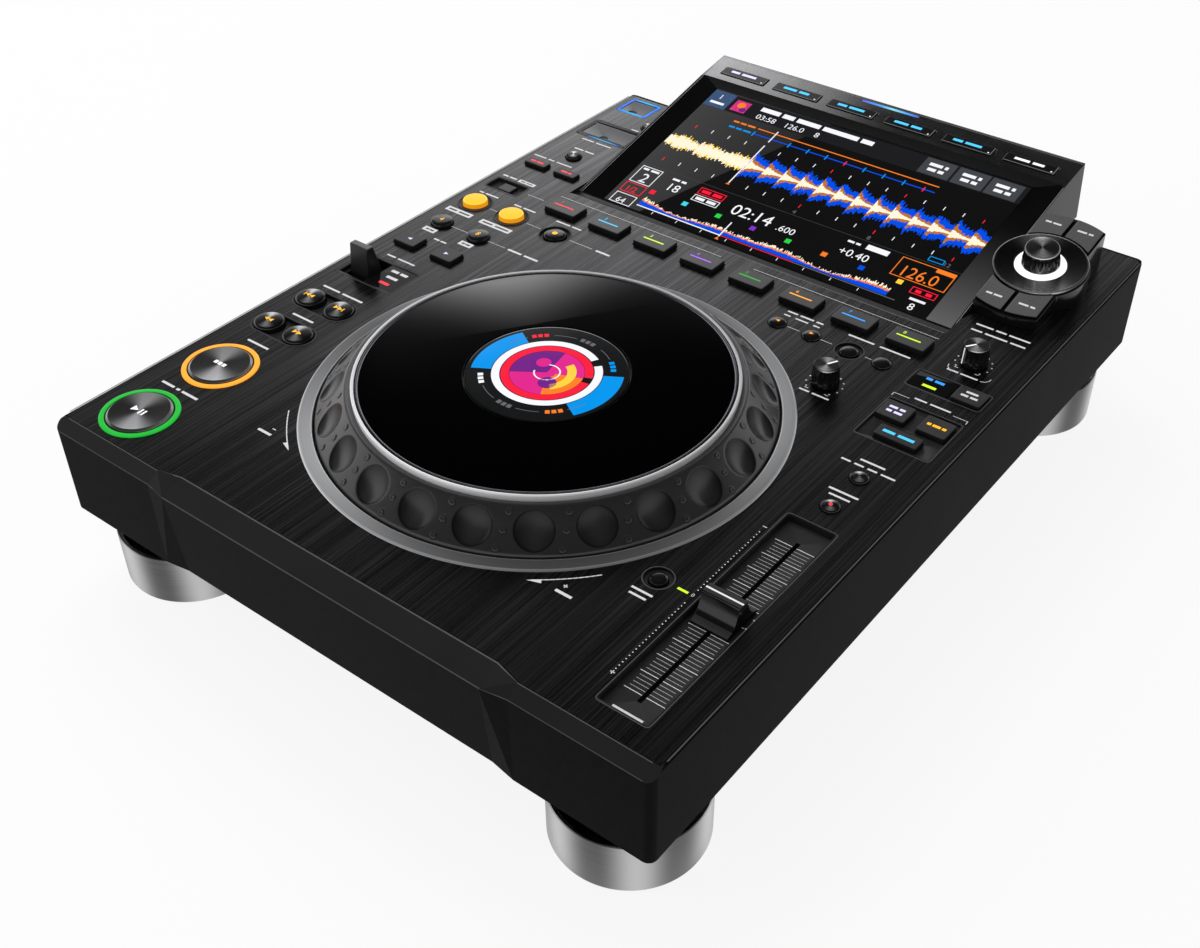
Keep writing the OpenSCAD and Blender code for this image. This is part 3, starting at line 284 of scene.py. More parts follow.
def lit(name, colour, power=1.0, cloudy=0.12):
    # a diffuser with a lamp behind it: slightly uneven glow
    f = Finish(name)
    cloud = f.noise(f.point(), 220.0, 2.0)
    glow = f.blend(cloud, shade(colour, 1 - cloudy), shade(colour, 1 + cloudy))
    return f.surface(colour=shade(colour, 0.5), rough=f.between(cloud, 0.3, 0.4), light=glow, power=power,
                     gloss=0.3, normal=f.relief(cloud, 0.1, 0.00002))


def casePlastic():
    return moulded("casePlastic", (0.0048, 0.0049, 0.0052), 0.46, 0.009, 1900.0, 0.00005, edge=0.3)


def brushedPanel():
    # dark anodised aluminium, brushed from front to rear
    f = Finish("brushedPanel")
    streak = f.noise(f.point(scale=(2600, 7, 900)), 1.0, 3.0, 0.7)
    broad = f.noise(f.point(scale=(420, 4, 60)), 1.0, 2.0)
    cloud = f.noise(f.point(), 9.0, 2.0)
    mixed = streak * 0.66 + broad * 0.24 + cloud * 0.1
    base = f.ramp(mixed, [(0.36, (0.032, 0.032, 0.033)), (0.48, (0.06, 0.06, 0.063)),
                          (0.57, (0.11, 0.11, 0.115)), (0.7, (0.24, 0.24, 0.25))])
    return f.surface(colour=base, metal=0.96, rough=f.between(mixed, 0.2, 0.36), gloss=0.4,
                     normal=f.relief(streak, 0.12, 0.00003))


jogSheen = {"toward": 142.0, "sharp": 21.0, "reach": 78.0, "cutTurn": 144.5, "cutAt": 38.8, "cutSoft": 0.5}


def jogTop():
    # gloss black turned face: fine rings, and one painted reflection wedge that ends at a straight edge
    f = Finish("jogGloss")
    place = f.point(jogCentre)
    turn, radius = f.around(place)
    groove = f.groove(radius * 1500.0, 2.0)
    cloud = f.noise(place, 30.0, 2.0)
    towardX, towardY = polar(1.0, math.radians(jogSheen["cutTurn"]))
    along = f.axis(place, "X") * towardX + f.axis(place, "Y") * towardY
    past = f.share(along, jogSheen["cutAt"] * mm, (jogSheen["cutAt"] + jogSheen["cutSoft"]) * mm)
    reach = (radius / (jogSheen["reach"] * mm)) ** 3.0
    wedge = f.lobe(turn, jogSheen["toward"], jogSheen["sharp"]) * reach * past
    base = f.blend(wedge, grey(0.009), f.blend(groove, grey(0.17), grey(0.25)))
    return f.surface(colour=base, rough=f.between(groove * 0.7 + cloud * 0.3, 0.09, 0.17), gloss=0.2,
                     metal=(1.0 - wedge) * 0.97, tint=(*grey(0.5), 1.0),
                     normal=f.relief(groove, 0.1, 0.00001))


def footFinish():
    # brushed round each cup: fine level lines, and painted highlight bands that stand upright on its wall
    f = Finish("footMetal")
    place = f.point((0, frontEdge + foot["front"] * mm / 2 + foot["rear"] * mm / 2, 0))
    half = (foot["rear"] - foot["front"]) * mm / 2
    x, y = (f.axis(place, name) for name in "XY")
    side = x.math("SIGN")
    end = y.math("SIGN")
    own = f.node("ShaderNodeCombineXYZ", {}, {0: x - side * (foot["x"] * mm), 1: y - end * half})
    angle = (f.around(own)[0] * (2 * math.pi) - math.radians(17)
             + side * math.radians(6) + end * math.radians(1))
    band = ((angle * foot["bands"]).math("COSINE") + 1.0) * 0.5
    line = f.noise(f.point(scale=(6, 6, 5200)), 1.0, 3.0)
    base = f.blend(band ** 1.4 * 0.85 + line * 0.2 - 0.05, (0.07, 0.07, 0.072), (0.6, 0.6, 0.61))
    return f.surface(colour=base, metal=1.0, rough=f.between(line, 0.26, 0.42), aniso=0.5,
                     normal=f.relief(line, 0.25, 0.00003))


def paintMark(name, colour, glow=0.0):
    # a flat mark, a little uneven: printed ink, and also painted highlight lines and sheens; glow adds
    # painted light of its own
    f = Finish(name)
    cloud = f.noise(f.point(), 900.0, 2.0)
    return f.surface(colour=f.blend(cloud, shade(colour, 0.82), colour),
                     rough=f.between(cloud, 0.45, 0.6), gloss=0.3,
                     light=f.blend(cloud, shade(colour, 0.9), colour), power=glow,
                     normal=f.relief(cloud, 0.1, 0.00001))


def glassBlack(name, gloss):
    f = Finish(name)
    place = f.point()
    smear = f.noise(place, 26.0, 4.0, 0.7)
    return f.surface(colour=f.blend(smear, grey(0.004), grey(0.007)), rough=f.between(smear, 0.05, 0.13),
                     gloss=gloss, coat=gloss * 0.6, coatRough=0.04, normal=f.relief(smear, 0.02, 0.00002))


def circuitBoard():
    f = Finish("circuitBoard")
    place = f.point()
    cells = f.node("ShaderNodeTexVoronoi", {"feature": "DISTANCE_TO_EDGE"}, {"Vector": place, "Scale": 160.0})
    track = f.between(cells < 0.09, 0.0, 1.0)
    base = f.blend(track, (0.012, 0.09, 0.035), (0.03, 0.2, 0.09))
    return f.surface(colour=base, rough=f.between(track, 0.4, 0.55), normal=f.relief(track, 0.3, 0.00004))


def sheetSteel():
    f = Finish("sheetSteel")
    place = f.point()
    cells = f.noise(place, 120.0, 3.0)
    return f.surface(colour=f.blend(cells, grey(0.25), grey(0.38)), metal=0.8,
                     rough=f.between(cells, 0.35, 0.55), normal=f.relief(cells, 0.1, 0.00003))


def castMetal():
    f = Finish("castMetal")
    place = f.point()
    grain = f.noise(place, 900.0, 4.0, 0.7)
    return f.surface(colour=f.blend(grain, grey(0.22), grey(0.4)), metal=0.9,
                     rough=f.between(grain, 0.4, 0.62), normal=f.relief(grain, 0.5, 0.00006))


jogAxis = {"x": 0.9, "back": 136.2}
jogCentre = centreOf(jogAxis["x"], jogAxis["back"])
podCentre = centreOf(pod["x"], pod["back"], pod["up"])
foot = {"x": 129.3, "front": 27.6, "rear": 383.3, "radius": 33.0, "height": 27.2, "pad": 0.8, "bevel": 2.0,
        "bands": 6, "padRadius": 28, "wall": 2, "stem": 15, "stemTop": 37.9, "floor": 4}

platter = {"dimples": 24, "offset": 6.6, "slopeIn": 88.8, "slopeOut": 103.0, "inUp": 15.4, "outUp": 1.2,
           "ball": 16.0, "dimpleWidth": 17.0, "pip": 1.5, "pipUp": 0.42, "moat": 2.1, "pipStep": 7.4,
           "shadeDepth": 0.85, "shadeCurve": 1.8}

# bowTieHighlight paints two highlight wedges across a turned face
bowTieHighlight = (120.0, 1.0, 3.2, 2)   # two light wedges across a turned face
finishes = {
    "case": casePlastic(),
    "caseBand": moulded("casePlasticBand", grey(0.017), 0.44, 0.12, 1900.0, 0.00005),
    "panel": brushedPanel(),
    "bezel": moulded("bezelSatin", grey(0.008), 0.36, 0.25, 2400.0, 0.00002, edge=0.15),
    "trayFloor": moulded("trayFloorSatin", grey(0.02), 0.38, 0.25, 2400.0, 0.00002),
    "well": moulded("wellMatt", grey(0.027), 0.5, 0.2, 2400.0, 0.00003),
    "housing": moulded("housingSatin", (0.0075, 0.0077, 0.0083), 0.36, 0.22, 3000.0, 0.00002, edge=0.2),
    "housingFace": moulded("housingGloss", grey(0.003), 0.2, 0.07, 3000.0, 0.00001),
    # housingSide: the housing's right side painted lighter, a painted highlight
    "housingSide": moulded("housingSide", grey(0.05), 0.44, 0.2, 3000.0, 0.00002),
    "strip": spun("stripMirror", jogCentre, (0.42, 0.42, 0.43), 0.16, 40.0, aniso=0.0),
    "gloss": moulded("podGloss", grey(0.005), 0.18, 0.3, 1500.0, 0.000008, coat=0.3),
    "keyBlack": moulded("keySatin", grey(0.01), 0.34, 0.3, 2600.0, 0.00002, edge=0.2),
    # keyTop, keyMid and podKey are lighter copies for the keys' upward faces: painted light
    "keyTop": moulded("keyTop", grey(0.026), 0.34, 0.35, 2600.0, 0.00002, edge=0.2),
    "keyMid": moulded("keyTopPaintedLight", grey(0.045), 0.34, 0.4, 2600.0, 0.00002, edge=0.2),
    "keyGloss": moulded("buttonGloss", grey(0.006), 0.2, 0.4, 2200.0, 0.000008, coat=0.3),
    "podKey": moulded("podKeySatin", grey(0.1), 0.28, 0.4, 2200.0, 0.00001, coat=0.25),
    "amber": lit("litAmber", (0.86, 0.32, 0.003), 0.75, cloudy=0.06),
    "amberTop": lit("litAmberTop", (0.98, 0.46, 0.008), 0.95, cloudy=0.05),
    # a painted highlight ring where the loop buttons' glowing top meets their side
    "amberEdgeHighlight": lit("litAmberEdgeHighlight", (1.0, 0.66, 0.1), 0.95, cloudy=0.05),
    "flap": moulded("flapGrey", (0.14, 0.142, 0.147), 0.42, 0.3, 2400.0, 0.00003, edge=0.2),
    # the turned finishes here carry painted highlight wedges over painted shade; the platter also gets
    # painted shade in its dimples
    "platter": spun("platterSatin", jogCentre, (0.2, 0.2, 0.205), 0.28, 300.0, 0.3,
                    [(140.0, 1.1, 6.0, 1), (205.0, 0.5, 10.0, 1), (60.0, 0.5, 10.0, 1)], aniso=0.0, cut=0.06,
                    metal=0.6, shadeHollows=True),
    "jogGloss": jogTop(),
    "rubber": moulded("padRubber", grey(0.01), 0.8, 0.2, 900.0, 0.00008),
    "chrome": spun("brightRim", jogCentre, (0.95, 0.955, 0.98), 0.14, 2000.0, 0.62, [(238.0, 0.5, 1.6, 1)],
                   aniso=0.3, metal=0.12, cut=0.03),
    "rimGrey": spun("innerRim", jogCentre, (0.2, 0.2, 0.23), 0.2, 2000.0, aniso=0.3, metal=0.9, cut=0.03),
    "surround": spun("surroundRing", jogCentre, (0.62, 0.625, 0.64), 0.34, 2600.0, 0.14,
                     [(240.0, 0.7, 9.0, 1), (35.0, 0.5, 6.0, 1), (142.0, 0.42, 16.0, 1)], metal=0.5),
    # surroundEdge is a lighter copy of the ring's finish for its rounded edges: painted highlight
    "surroundEdge": spun("surroundEdge", jogCentre, (0.75, 0.755, 0.77), 0.3, 2600.0, 0.4,
                         [(240.0, 0.6, 6.0, 1), (35.0, 0.5, 6.0, 1), (142.0, 0.4, 12.0, 1)], metal=0.5),
    "podRing": spun("podRing", podCentre, (0.74, 0.74, 0.75), 0.24, 2600.0, 0.04, [(118.0, 1.0, 6.0, 2)],
                    tilt=pod["tilt"], metal=0.9),
    "knobTop": spun("knobTop", podCentre, (0.9, 0.9, 0.92), 0.26, 2600.0, 0.06, [(118.0, 1.0, 4.0, 2)],
                    tilt=pod["tilt"], metal=0.85),
    "knobSkirt": spun("knobSkirt", podCentre, (0.5, 0.5, 0.51), 0.2, 1600.0, tilt=pod["tilt"]),
    "shaft": spun("turnedSteel", podCentre, grey(0.55), 0.3, 1600.0),
    "brass": spun("jackGold", jogCentre, (0.75, 0.55, 0.22), 0.3, 900.0),
    "nickel": spun("jackNickel", jogCentre, grey(0.6), 0.3, 900.0),
    "glass": glassBlack("glassBlack", 0.5),
    "windowGlass": glassBlack("windowGlass", 0.12),
    "board": circuitBoard(),
    "steel": sheetSteel(),
    "cast": castMetal(),
    "footMetal": footFinish(),
    "printBright": paintMark("printBright", (0.9, 0.91, 0.93), 0.4),
    "print": paintMark("printWhite", (0.7, 0.7, 0.72), 0.22),
    # rimLine: painted highlight lines along edges and seams, and the ink of the words inside the printed
    # boxes
    "rimLine": paintMark("edgeHighlightAndInk", (0.06, 0.06, 0.063), 0.35),
    "gapLine": paintMark("gapShadow", (0.001, 0.001, 0.001)),
    # bandEdge: a painted highlight line along the case's front band
    "bandEdge": paintMark("bandEdge", (0.085, 0.085, 0.09), 0.3),
    "printDim": paintMark("printGrey", (0.5, 0.51, 0.53), 0.15),
    "green": lit("litGreen", (0.012, 0.4, 0.035), 0.9),
    "orange": lit("litOrange", (0.98, 0.36, 0.03), 0.95),
    "white": lit("litWhite", (0.95, 0.97, 1.0), 1.0),
    "blue": lit("litBlue", (0.03, 0.3, 0.95), 1.0),
    "cyan": lit("litCyan", (0.06, 0.5, 0.85), 1.0),
    "red": lit("litRed", (0.9, 0.03, 0.05), 1.0),
    "violet": lit("litViolet", (0.35, 0.1, 0.85), 1.0),
    "lime": lit("litLime", (0.55, 0.85, 0.02), 1.0),
}
print("finishes made:", len(finishes))


# ---- shapes

class Shape:
    # a mesh being drawn in millimetres, with a finish for each face
    def __init__(self, finish):
        self.bm = bmesh.new()
        self.finishes = []
        self.use(finish)

    def use(self, finish):
        if finish not in self.finishes:
            self.finishes.append(finish)
        self.current = self.finishes.index(finish)
        return self

    def face(self, verts):
        made = self.bm.faces.new(verts)
        made.material_index = self.current
        return made

    def flat(self, points, z=0.0):
        return self.face([self.bm.verts.new((*p, z) if len(p) == 2 else p) for p in points])

    def bar(self, x0, x1, y0, y1, z=0.0):
        return self.flat([(x0, y0), (x1, y0), (x1, y1), (x0, y1)], z)

    def rings(self, rows, closed=True, capLow=True, capHigh=True):
        made = [[self.bm.verts.new(p) for p in row] for row in rows]
        count = len(made[0])
        for low, high in zip(made, made[1:]):
            for i in range(count if closed else count - 1):
                j = (i + 1) % count
                self.face([low[i], low[j], high[j], high[i]])
        if capLow:
            self.face(list(reversed(made[0])))
        if capHigh:
            self.face(made[-1])
        return made

    def lathe(self, profile, segments=96, x=0.0, y=0.0):
        # (radius, z) from the outer foot round to the top; a radius of 0 closes on a pole
        rows = []
        angles = [2 * math.pi * i / segments for i in range(segments)]
        for r, z in profile:
            if r < 1e-6:
                rows.append(self.bm.verts.new((x, y, z)))
            else:
                rows.append([self.bm.verts.new((*polar(r, a, x, y), z)) for a in angles])
        for low, high in zip(rows, rows[1:]):
            for i in range(segments):
                j = (i + 1) % segments
                if isinstance(low, list) and isinstance(high, list):
                    self.face([low[i], low[j], high[j], high[i]])
                elif isinstance(low, list):
                    self.face([low[i], low[j], high])
                elif isinstance(high, list):
                    self.face([low, high[j], high[i]])
        return self

    def prism(self, outline, low, high):
        self.rings([[(*p, low) for p in outline], [(*p, high) for p in outline]])
        return self

    def arc(self, r0, r1, a0, a1, z=0.0, x=0.0, y=0.0, steps=24):
        angles = [math.radians(a0 + (a1 - a0) * i / steps) for i in range(steps + 1)]
        rows = [[self.bm.verts.new((*polar(r, a, x, y), z)) for a in angles] for r in (r0, r1)]
        for i in range(steps):
            self.face([rows[0][i], rows[1][i], rows[1][i + 1], rows[0][i + 1]])
        return self

    def dot(self, x, y, r, z=0.0, sides=20):
        self.flat([polar(r, 2 * math.pi * i / sides, x, y) for i in range(sides)], z)
        return self

    def frame(self, x0, x1, y0, y1, width, z=0.0):
        self.bar(x0, x1, y0, y0 + width, z)
        self.bar(x0, x1, y1 - width, y1, z)
        self.bar(x0, x0 + width, y0 + width, y1 - width, z)
        self.bar(x1 - width, x1, y0 + width, y1 - width, z)
        return self

    def digits(self, signs, x, y, height, z=0.0, align="LEFT", stretch=1.0):
        # plain figures from the built-in face, laid flat
        curve = bpy.data.curves.new("figures", "FONT")
        curve.body = signs
        curve.size = height * 1.38
        curve.align_x = align
        curve.resolution_u = 3
        mesh = shaped(linked("figures", curve))
        mesh.transform(Matrix.Translation((x, y, z)) @ Matrix.Diagonal((stretch, 1, 1, 1)))
        for made in self.takeIn(mesh):
            made.material_index = self.current
        return self

    def takeIn(self, mesh):
        # adds a mesh's faces and gives them back, without the mesh
        first = len(self.bm.faces)
        self.bm.from_mesh(mesh)
        self.bm.faces.ensure_lookup_table()
        bpy.data.meshes.remove(mesh)
        return self.bm.faces[first:]

    def join(self, other):
        # takes in another shape with its finishes
        for finish in other.finishes:
            self.use(finish)
        scratch = bpy.data.meshes.new("scratch")
        other.bm.to_mesh(scratch)
        other.bm.free()
        for face in self.takeIn(scratch):
            face.material_index = self.finishes.index(other.finishes[face.material_index])
        return self

    def stroke(self, points, width, z=0.0):
        # a flat line of one width through the points
        for (x0, y0), (x1, y1) in zip(points, points[1:]):
            run = math.hypot(x1 - x0, y1 - y0) or 1.0
            dx = (x1 - x0) / run * width / 2
            dy = (y1 - y0) / run * width / 2
            self.flat([(x0 - dx + dy, y0 - dy - dx), (x1 + dx + dy, y1 + dy - dx),
                       (x1 + dx - dy, y1 + dy + dx), (x0 - dx - dy, y0 - dy + dx)], z)
        return self

    def outlined(self, outline, width, z=0.0, drop=0.0):
        # a thin band inside a closed outline, with its outer edge let down by drop
        middle = Vector((sum(p[0] for p in outline), sum(p[1] for p in outline))) / len(outline)
        count = len(outline)
        outer = [self.bm.verts.new((p[0], p[1], z - drop)) for p in outline]
        inner = []
        for i, p in enumerate(outline):
            before = Vector(outline[i - 1])
            after = Vector(outline[(i + 1) % count])
            along = (after - before).normalized()
            inward = Vector((-along.y, along.x))
            if inward.dot(middle - Vector(p)) < 0:
                inward = -inward
            inner.append(self.bm.verts.new((p[0] + inward.x * width, p[1] + inward.y * width, z)))
        for i in range(count):
            j = (i + 1) % count
            self.face([outer[i], outer[j], inner[j], inner[i]])
        return self

    def words(self, x0, x1, y, height=0.9, z=0.0, parts=(3, 5, 2)):
        # a plain broken bar where a label stands
        total = sum(parts) + 0.8 * (len(parts) - 1)
        at = x0
        for part in parts:
            run = (x1 - x0) * part / total
            self.bar(at, at + run, y - height / 2, y + height / 2, z)
            at += run + (x1 - x0) * 0.8 / total
        return self

    def toMesh(self, name, place):
        bmesh.ops.remove_doubles(self.bm, verts=self.bm.verts, dist=1e-4)
        mesh = bpy.data.meshes.new(name)
        self.bm.to_mesh(mesh)
        self.bm.free()
        mesh.transform(place)
        for finish in self.finishes:
            mesh.materials.append(finishes[finish])
        return mesh


def roundedOutline(width, depth, r, x=0.0, y=0.0, steps=6):
    points = []
    for sideX, sideY, start in ((1, 1, 0), (-1, 1, 90), (-1, -1, 180), (1, -1, 270)):
        corner = (x + sideX * (width / 2 - r), y + sideY * (depth / 2 - r))
        points += [polar(r, math.radians(start + 90 * i / steps), *corner) for i in range(steps + 1)]
    return points


def smooth(mesh, angle=32.0):
    for face in mesh.polygons:
        face.use_smooth = True
    mesh.set_sharp_from_angle(angle=math.radians(angle))


def linked(name, data):
    made = bpy.data.objects.new(name, data)
    scene.collection.objects.link(made)
    return made


def addPiece(name, mesh, body, nodes=()):
    made = linked(name, mesh)
    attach(made, body)
    if nodes:
        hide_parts(*nodes)


def put(name, shape, place, body, nodes=(), angle=32.0):
    # sets a drawn shape down as a piece; edges sharper than the angle stay sharp
    mesh = shape.toMesh(name, place)
    smooth(mesh, angle)
    addPiece(name, mesh, body, nodes)


def shaped(holder):
    # the evaluated mesh of an object whose modifiers are live, as plain data
    bpy.context.view_layer.update()
    graph = bpy.context.evaluated_depsgraph_get()
    mesh = bpy.data.meshes.new_from_object(holder.evaluated_get(graph))
    bpy.data.objects.remove(holder)
    return mesh


def softened(name, node, body, finish, width, angle=32.0, pick=None, plain=True, crease=None):
    # a merged copy of the solid with its edges rounded; pick gives each face its finish from its place
    # and its direction, in millimetres from the panel's front edge
    mesh = frame["nodes"][node].data.copy()
    mesh.materials.clear()
    bm = bmesh.new()
    bm.from_mesh(mesh)
    bmesh.ops.remove_doubles(bm, verts=bm.verts, dist=2e-6)
    names = [finish]
    for f in bm.faces:
        chosen = finish
        if pick:
            middle = f.calc_center_median()
            chosen = pick(middle.x / mm, (middle.y - frontEdge) / mm, (middle.z - panelTop) / mm, f.normal)
        if chosen not in names:
            names.append(chosen)
        f.material_index = names.index(chosen)
    if plain:
        bmesh.ops.dissolve_limit(bm, angle_limit=math.radians(0.4), verts=bm.verts, edges=bm.edges,
                                 delimit={"MATERIAL"})
    bm.to_mesh(mesh)
    bm.free()
    for each in names:
        mesh.materials.append(finishes[each])
    smooth(mesh, angle)
    holder = linked(name, mesh)
    if width:
        bevel = holder.modifiers.new("edges", "BEVEL")
        bevel.width = width * mm
        bevel.segments = 2
        bevel.limit_method = "ANGLE"
        bevel.angle_limit = math.radians(crease or angle)
        bevel.use_clamp_overlap = False
        bevel.loop_slide = False
        bevel.harden_normals = True
    addPiece(name, shaped(holder), body, [node])


# ---- one Geometry Nodes tree repeats a drawn shape along a line or round an axis

def repeatTree():
    tree = bpy.data.node_groups.new("repeatAlong", "GeometryNodeTree")
    inputs = (("Geometry", "NodeSocketGeometry"), ("Count", "NodeSocketInt"), ("Shift", "NodeSocketVector"),
              ("Turn", "NodeSocketFloat"), ("Start", "NodeSocketFloat"), ("Material", "NodeSocketMaterial"))
    for name, kind in inputs:
        tree.interface.new_socket(name=name, in_out="INPUT", socket_type=kind)
    tree.interface.new_socket(name="Geometry", in_out="OUTPUT", socket_type="NodeSocketGeometry")
    source, points, index, move, angle, spin, copies, real, paint, result = (
        tree.nodes.new(kind) for kind in (
            "NodeGroupInput", "GeometryNodePoints", "GeometryNodeInputIndex", "ShaderNodeVectorMath",
            "ShaderNodeMath", "ShaderNodeCombineXYZ", "GeometryNodeInstanceOnPoints",
            "GeometryNodeRealizeInstances", "GeometryNodeSetMaterial", "NodeGroupOutput"))
    move.operation = "SCALE"
    angle.operation = "MULTIPLY_ADD"
    for giver, output, taker, entry in (
            (source, "Count", points, "Count"), (source, "Shift", move, 0), (index, 0, move, "Scale"),
            (move, 0, points, "Position"), (index, 0, angle, 0), (source, "Turn", angle, 1),
            (source, "Start", angle, 2), (angle, 0, spin, "Z"), (points, 0, copies, "Points"),
            (source, "Geometry", copies, "Instance"), (spin, 0, copies, "Rotation"), (copies, 0, real, 0),
            (real, 0, paint, "Geometry"), (source, "Material", paint, "Material"), (paint, 0, result, 0)):
        tree.links.new(giver.outputs[output], taker.inputs[entry])
    return tree


repeater = repeatTree()


def repeated(name, shape, place, body, count, shift=(0, 0, 0), turn=0.0, start=0.0):
    # turn and start are degrees round the shape's own axis
    finish = shape.finishes[0]
    holder = linked(name, shape.toMesh(name, Matrix.Identity(4)))
    modifier = holder.modifiers.new("repeat", "NODES")
    modifier.node_group = repeater
    values = {"Count": count, "Shift": shift, "Turn": math.radians(turn), "Start": math.radians(start),
              "Material": finishes[finish]}
    for item in repeater.interface.items_tree:
        if item.item_type == "SOCKET" and item.in_out == "INPUT" and item.name in values:
            modifier[item.identifier] = values[item.name]
    mesh = shaped(holder)
    mesh.transform(place)
    smooth(mesh)
    addPiece(name, mesh, body, ())


# ---- camera, floor and light

view = {"place": (0.351146, -0.483554, 0.475185), "turn": (51.02, 0.0, 37.33), "lens": 44.19,
        "shift": -0.0233}
cameraData = bpy.data.cameras.new("camera")
cameraData.lens = view["lens"]
cameraData.sensor_width = 36.0
cameraData.shift_x = view["shift"]
cameraData.clip_start = 0.01
scene.camera = linked("camera", cameraData)
scene.camera.location = view["place"]
scene.camera.rotation_euler = [math.radians(a) for a in view["turn"]]


def addCard(name, corners, material):
    mesh = bpy.data.meshes.new(name)
    mesh.from_pydata(corners, [], [tuple(range(len(corners)))])
    mesh.materials.append(material)
    card = linked(name, mesh)
    return card


def makeFloor(own, reach):
    # a pale floor that is near white to the camera and still takes the object's shadow
    f = Finish("floorPale")
    cloud = f.noise(f.point(), 3.0, 2.0)
    paint = f.node("ShaderNodeBsdfDiffuse", {}, {"Color": f.blend(cloud, grey(0.9), grey(0.93))})
    white = f.node("ShaderNodeEmission", {}, {"Color": grey(1.0), "Strength": 1.0})
    both = f.node("ShaderNodeMixShader", {}, {0: f.seen() * own, 1: paint, 2: white})
    f.node("ShaderNodeOutputMaterial", {}, {"Surface": both})
    addCard("floor", [(x * reach, y * reach, 0) for x, y in ((-1, -1), (1, -1), (1, 1), (-1, 1))], f.material)


def makeWorld(fill):
    scene.world = bpy.data.worlds.new("studio")
    f = Finish("studio", scene.world)
    back = f.node("ShaderNodeBackground", {}, {
        "Color": grey(1.0), "Strength": f.between(f.seen(), fill, 1.0)})
    f.node("ShaderNodeOutputWorld", {}, {"Surface": back})


def addLamp(name, place, aim, size, power):
    data = bpy.data.lights.new(name, "AREA")
    data.shape = "SQUARE"
    data.size = size
    data.energy = power
    lamp = linked(name, data)
    lamp.location = place
    lamp.rotation_euler = (Vector(aim) - Vector(place)).to_track_quat("-Z", "Y").to_euler()
    lamp.visible_glossy = False


def addFlag(name, outline, height, start, end, low, high):
    # a card over the table that only what mirrors it can see, shaded from left to right
    f = Finish(name)
    share = f.share(f.axis(f.point(), "X"), start, end)
    material = f.surface(colour=grey(0.0), rough=1.0, gloss=0.0, power=1.0,
                         light=f.blend(share, grey(low), grey(high)))
    flag = addCard(name, [(x, y, panelTop + height) for x, y in outline], material)
    flag.visible_camera = False
    flag.visible_diffuse = False
    flag.visible_transmission = False
    flag.visible_shadow = False
    flag.visible_volume_scatter = False


studio = {"fill": 0.5, "floorOwn": 0.88, "floorReach": 9,
          "lamps": {   # place, aim, size, power
              "keyLamp": ((-1.1, 0.6, 2.0), (0, 0, 0.05), 1.6, 26.0),
              "frontLamp": ((-0.75, -0.85, 0.6), (-0.1, -0.2, 0.05), 0.5, 2.4)},
          "flags": {   # outline, height over the panel, shaded from x to x, level left and right
              "darkCard": ([(-4.75, 2.9), (-3.2, 2.6), (-2.9, 2.25), (-2.29, 3.23), (-1.9, 4.2), (-1.7, 5.5),
                            (6, 5.5), (6, -5.5), (-4.75, -5.5)], 2.5, -4.0, 1.0, 0.035, 0.014),
              "rearCard": ([(-4.5, 3.6), (-2.9, 3.7), (-2.5, 4.6), (-2.4, 5.6), (-4.5, 5.6)],
                           2.45, -4.5, -2.4, 3.0, 1.8),
              "stripCard": ([(-0.62, 0.61), (-0.32, 0.61), (-0.32, 0.72), (-0.62, 0.72)],
                            0.5, -0.49, -0.33, 1.5, 0.3)}}
makeFloor(studio["floorOwn"], studio["floorReach"])
makeWorld(studio["fill"])
for name, lamp in studio["lamps"].items():
    addLamp(name, *lamp)
for name, flag in studio["flags"].items():
    addFlag(name, *flag)
print("stage set")

bodies = {n: b for b, group in frame["record"]["behaviour"]["bodies"].items() for n in group}

# ---- outlines turned on a lathe

def ringProfile(rOut, rIn, low, high, edge=0.3):
    return [(rOut, low), (rOut, high - edge), (rOut - 0.3 * edge, high - 0.3 * edge), (rOut - edge, high),
            (rIn + edge, high), (rIn + 0.3 * edge, high - 0.3 * edge), (rIn, high - edge),
            (rIn, low), (rOut, low)]


def capProfile(r, low, high, edge=0.4, crown=0.0):
    rows = [(0, low), (r, low), (r, high - edge)]
    rows += [(r - edge * (1 - math.cos(a)), high - edge * (1 - math.sin(a)))
             for a in (math.radians(30), math.radians(60), math.radians(90))]
    inner = r - edge
    steps = 5 if crown else 1
    rows += [(inner * math.cos(math.pi / 2 * i / steps), high + crown * math.sin(math.pi / 2 * i / steps))
             for i in range(1, steps)]
    return rows + [(0, high + crown)]


spring = {"stem": 1.6, "stemFoot": -9.3, "flange": 1.2, "flangeLow": 1.1, "flangeThick": 1}


def sprung(profile, r, seat):
    # adds the flange under the panel and the stem towards the switch
    low = seat - spring["flangeLow"]
    high = low + spring["flangeThick"]
    wide = r + spring["flange"]
    stem = [(0, spring["stemFoot"]), (spring["stem"], spring["stemFoot"]), (spring["stem"], low),
            (wide, low), (wide, high), (r, high)]
    return stem + profile[2:]


# ---- case, panel and the pieces let into it

def caseFinish(x, back, z, normal):
    return "caseBand" if back < 3.5 and 0.5 < normal.z < 0.97 else "case"


def insertFinish(x, back, z, normal):
    # floors of the trays and of the slider's well are lighter than their walls
    if normal.z > 0.9 and z < -0.5:
        return "well" if abs(x - 138.2) < 12 and 10 < back < 139 else "trayFloor"
    return "bezel"


def unitFinish(x, back, z, normal):
    # the power supply's sheet case stands low on the right, the rest are boards
    return "steel" if z < -21.0 and x > 50 else "board"


def jackFinish(x, back, z, normal):
    # three gilt phono jacks, two sockets with metal shells, a black inlet
    for at in (-118.0, -98.0, -70.0):
        if math.hypot(x - at, z + 24.0) < 4.6:
            return "brass"
    return "nickel" if -46 < x < 4 else "bezel"


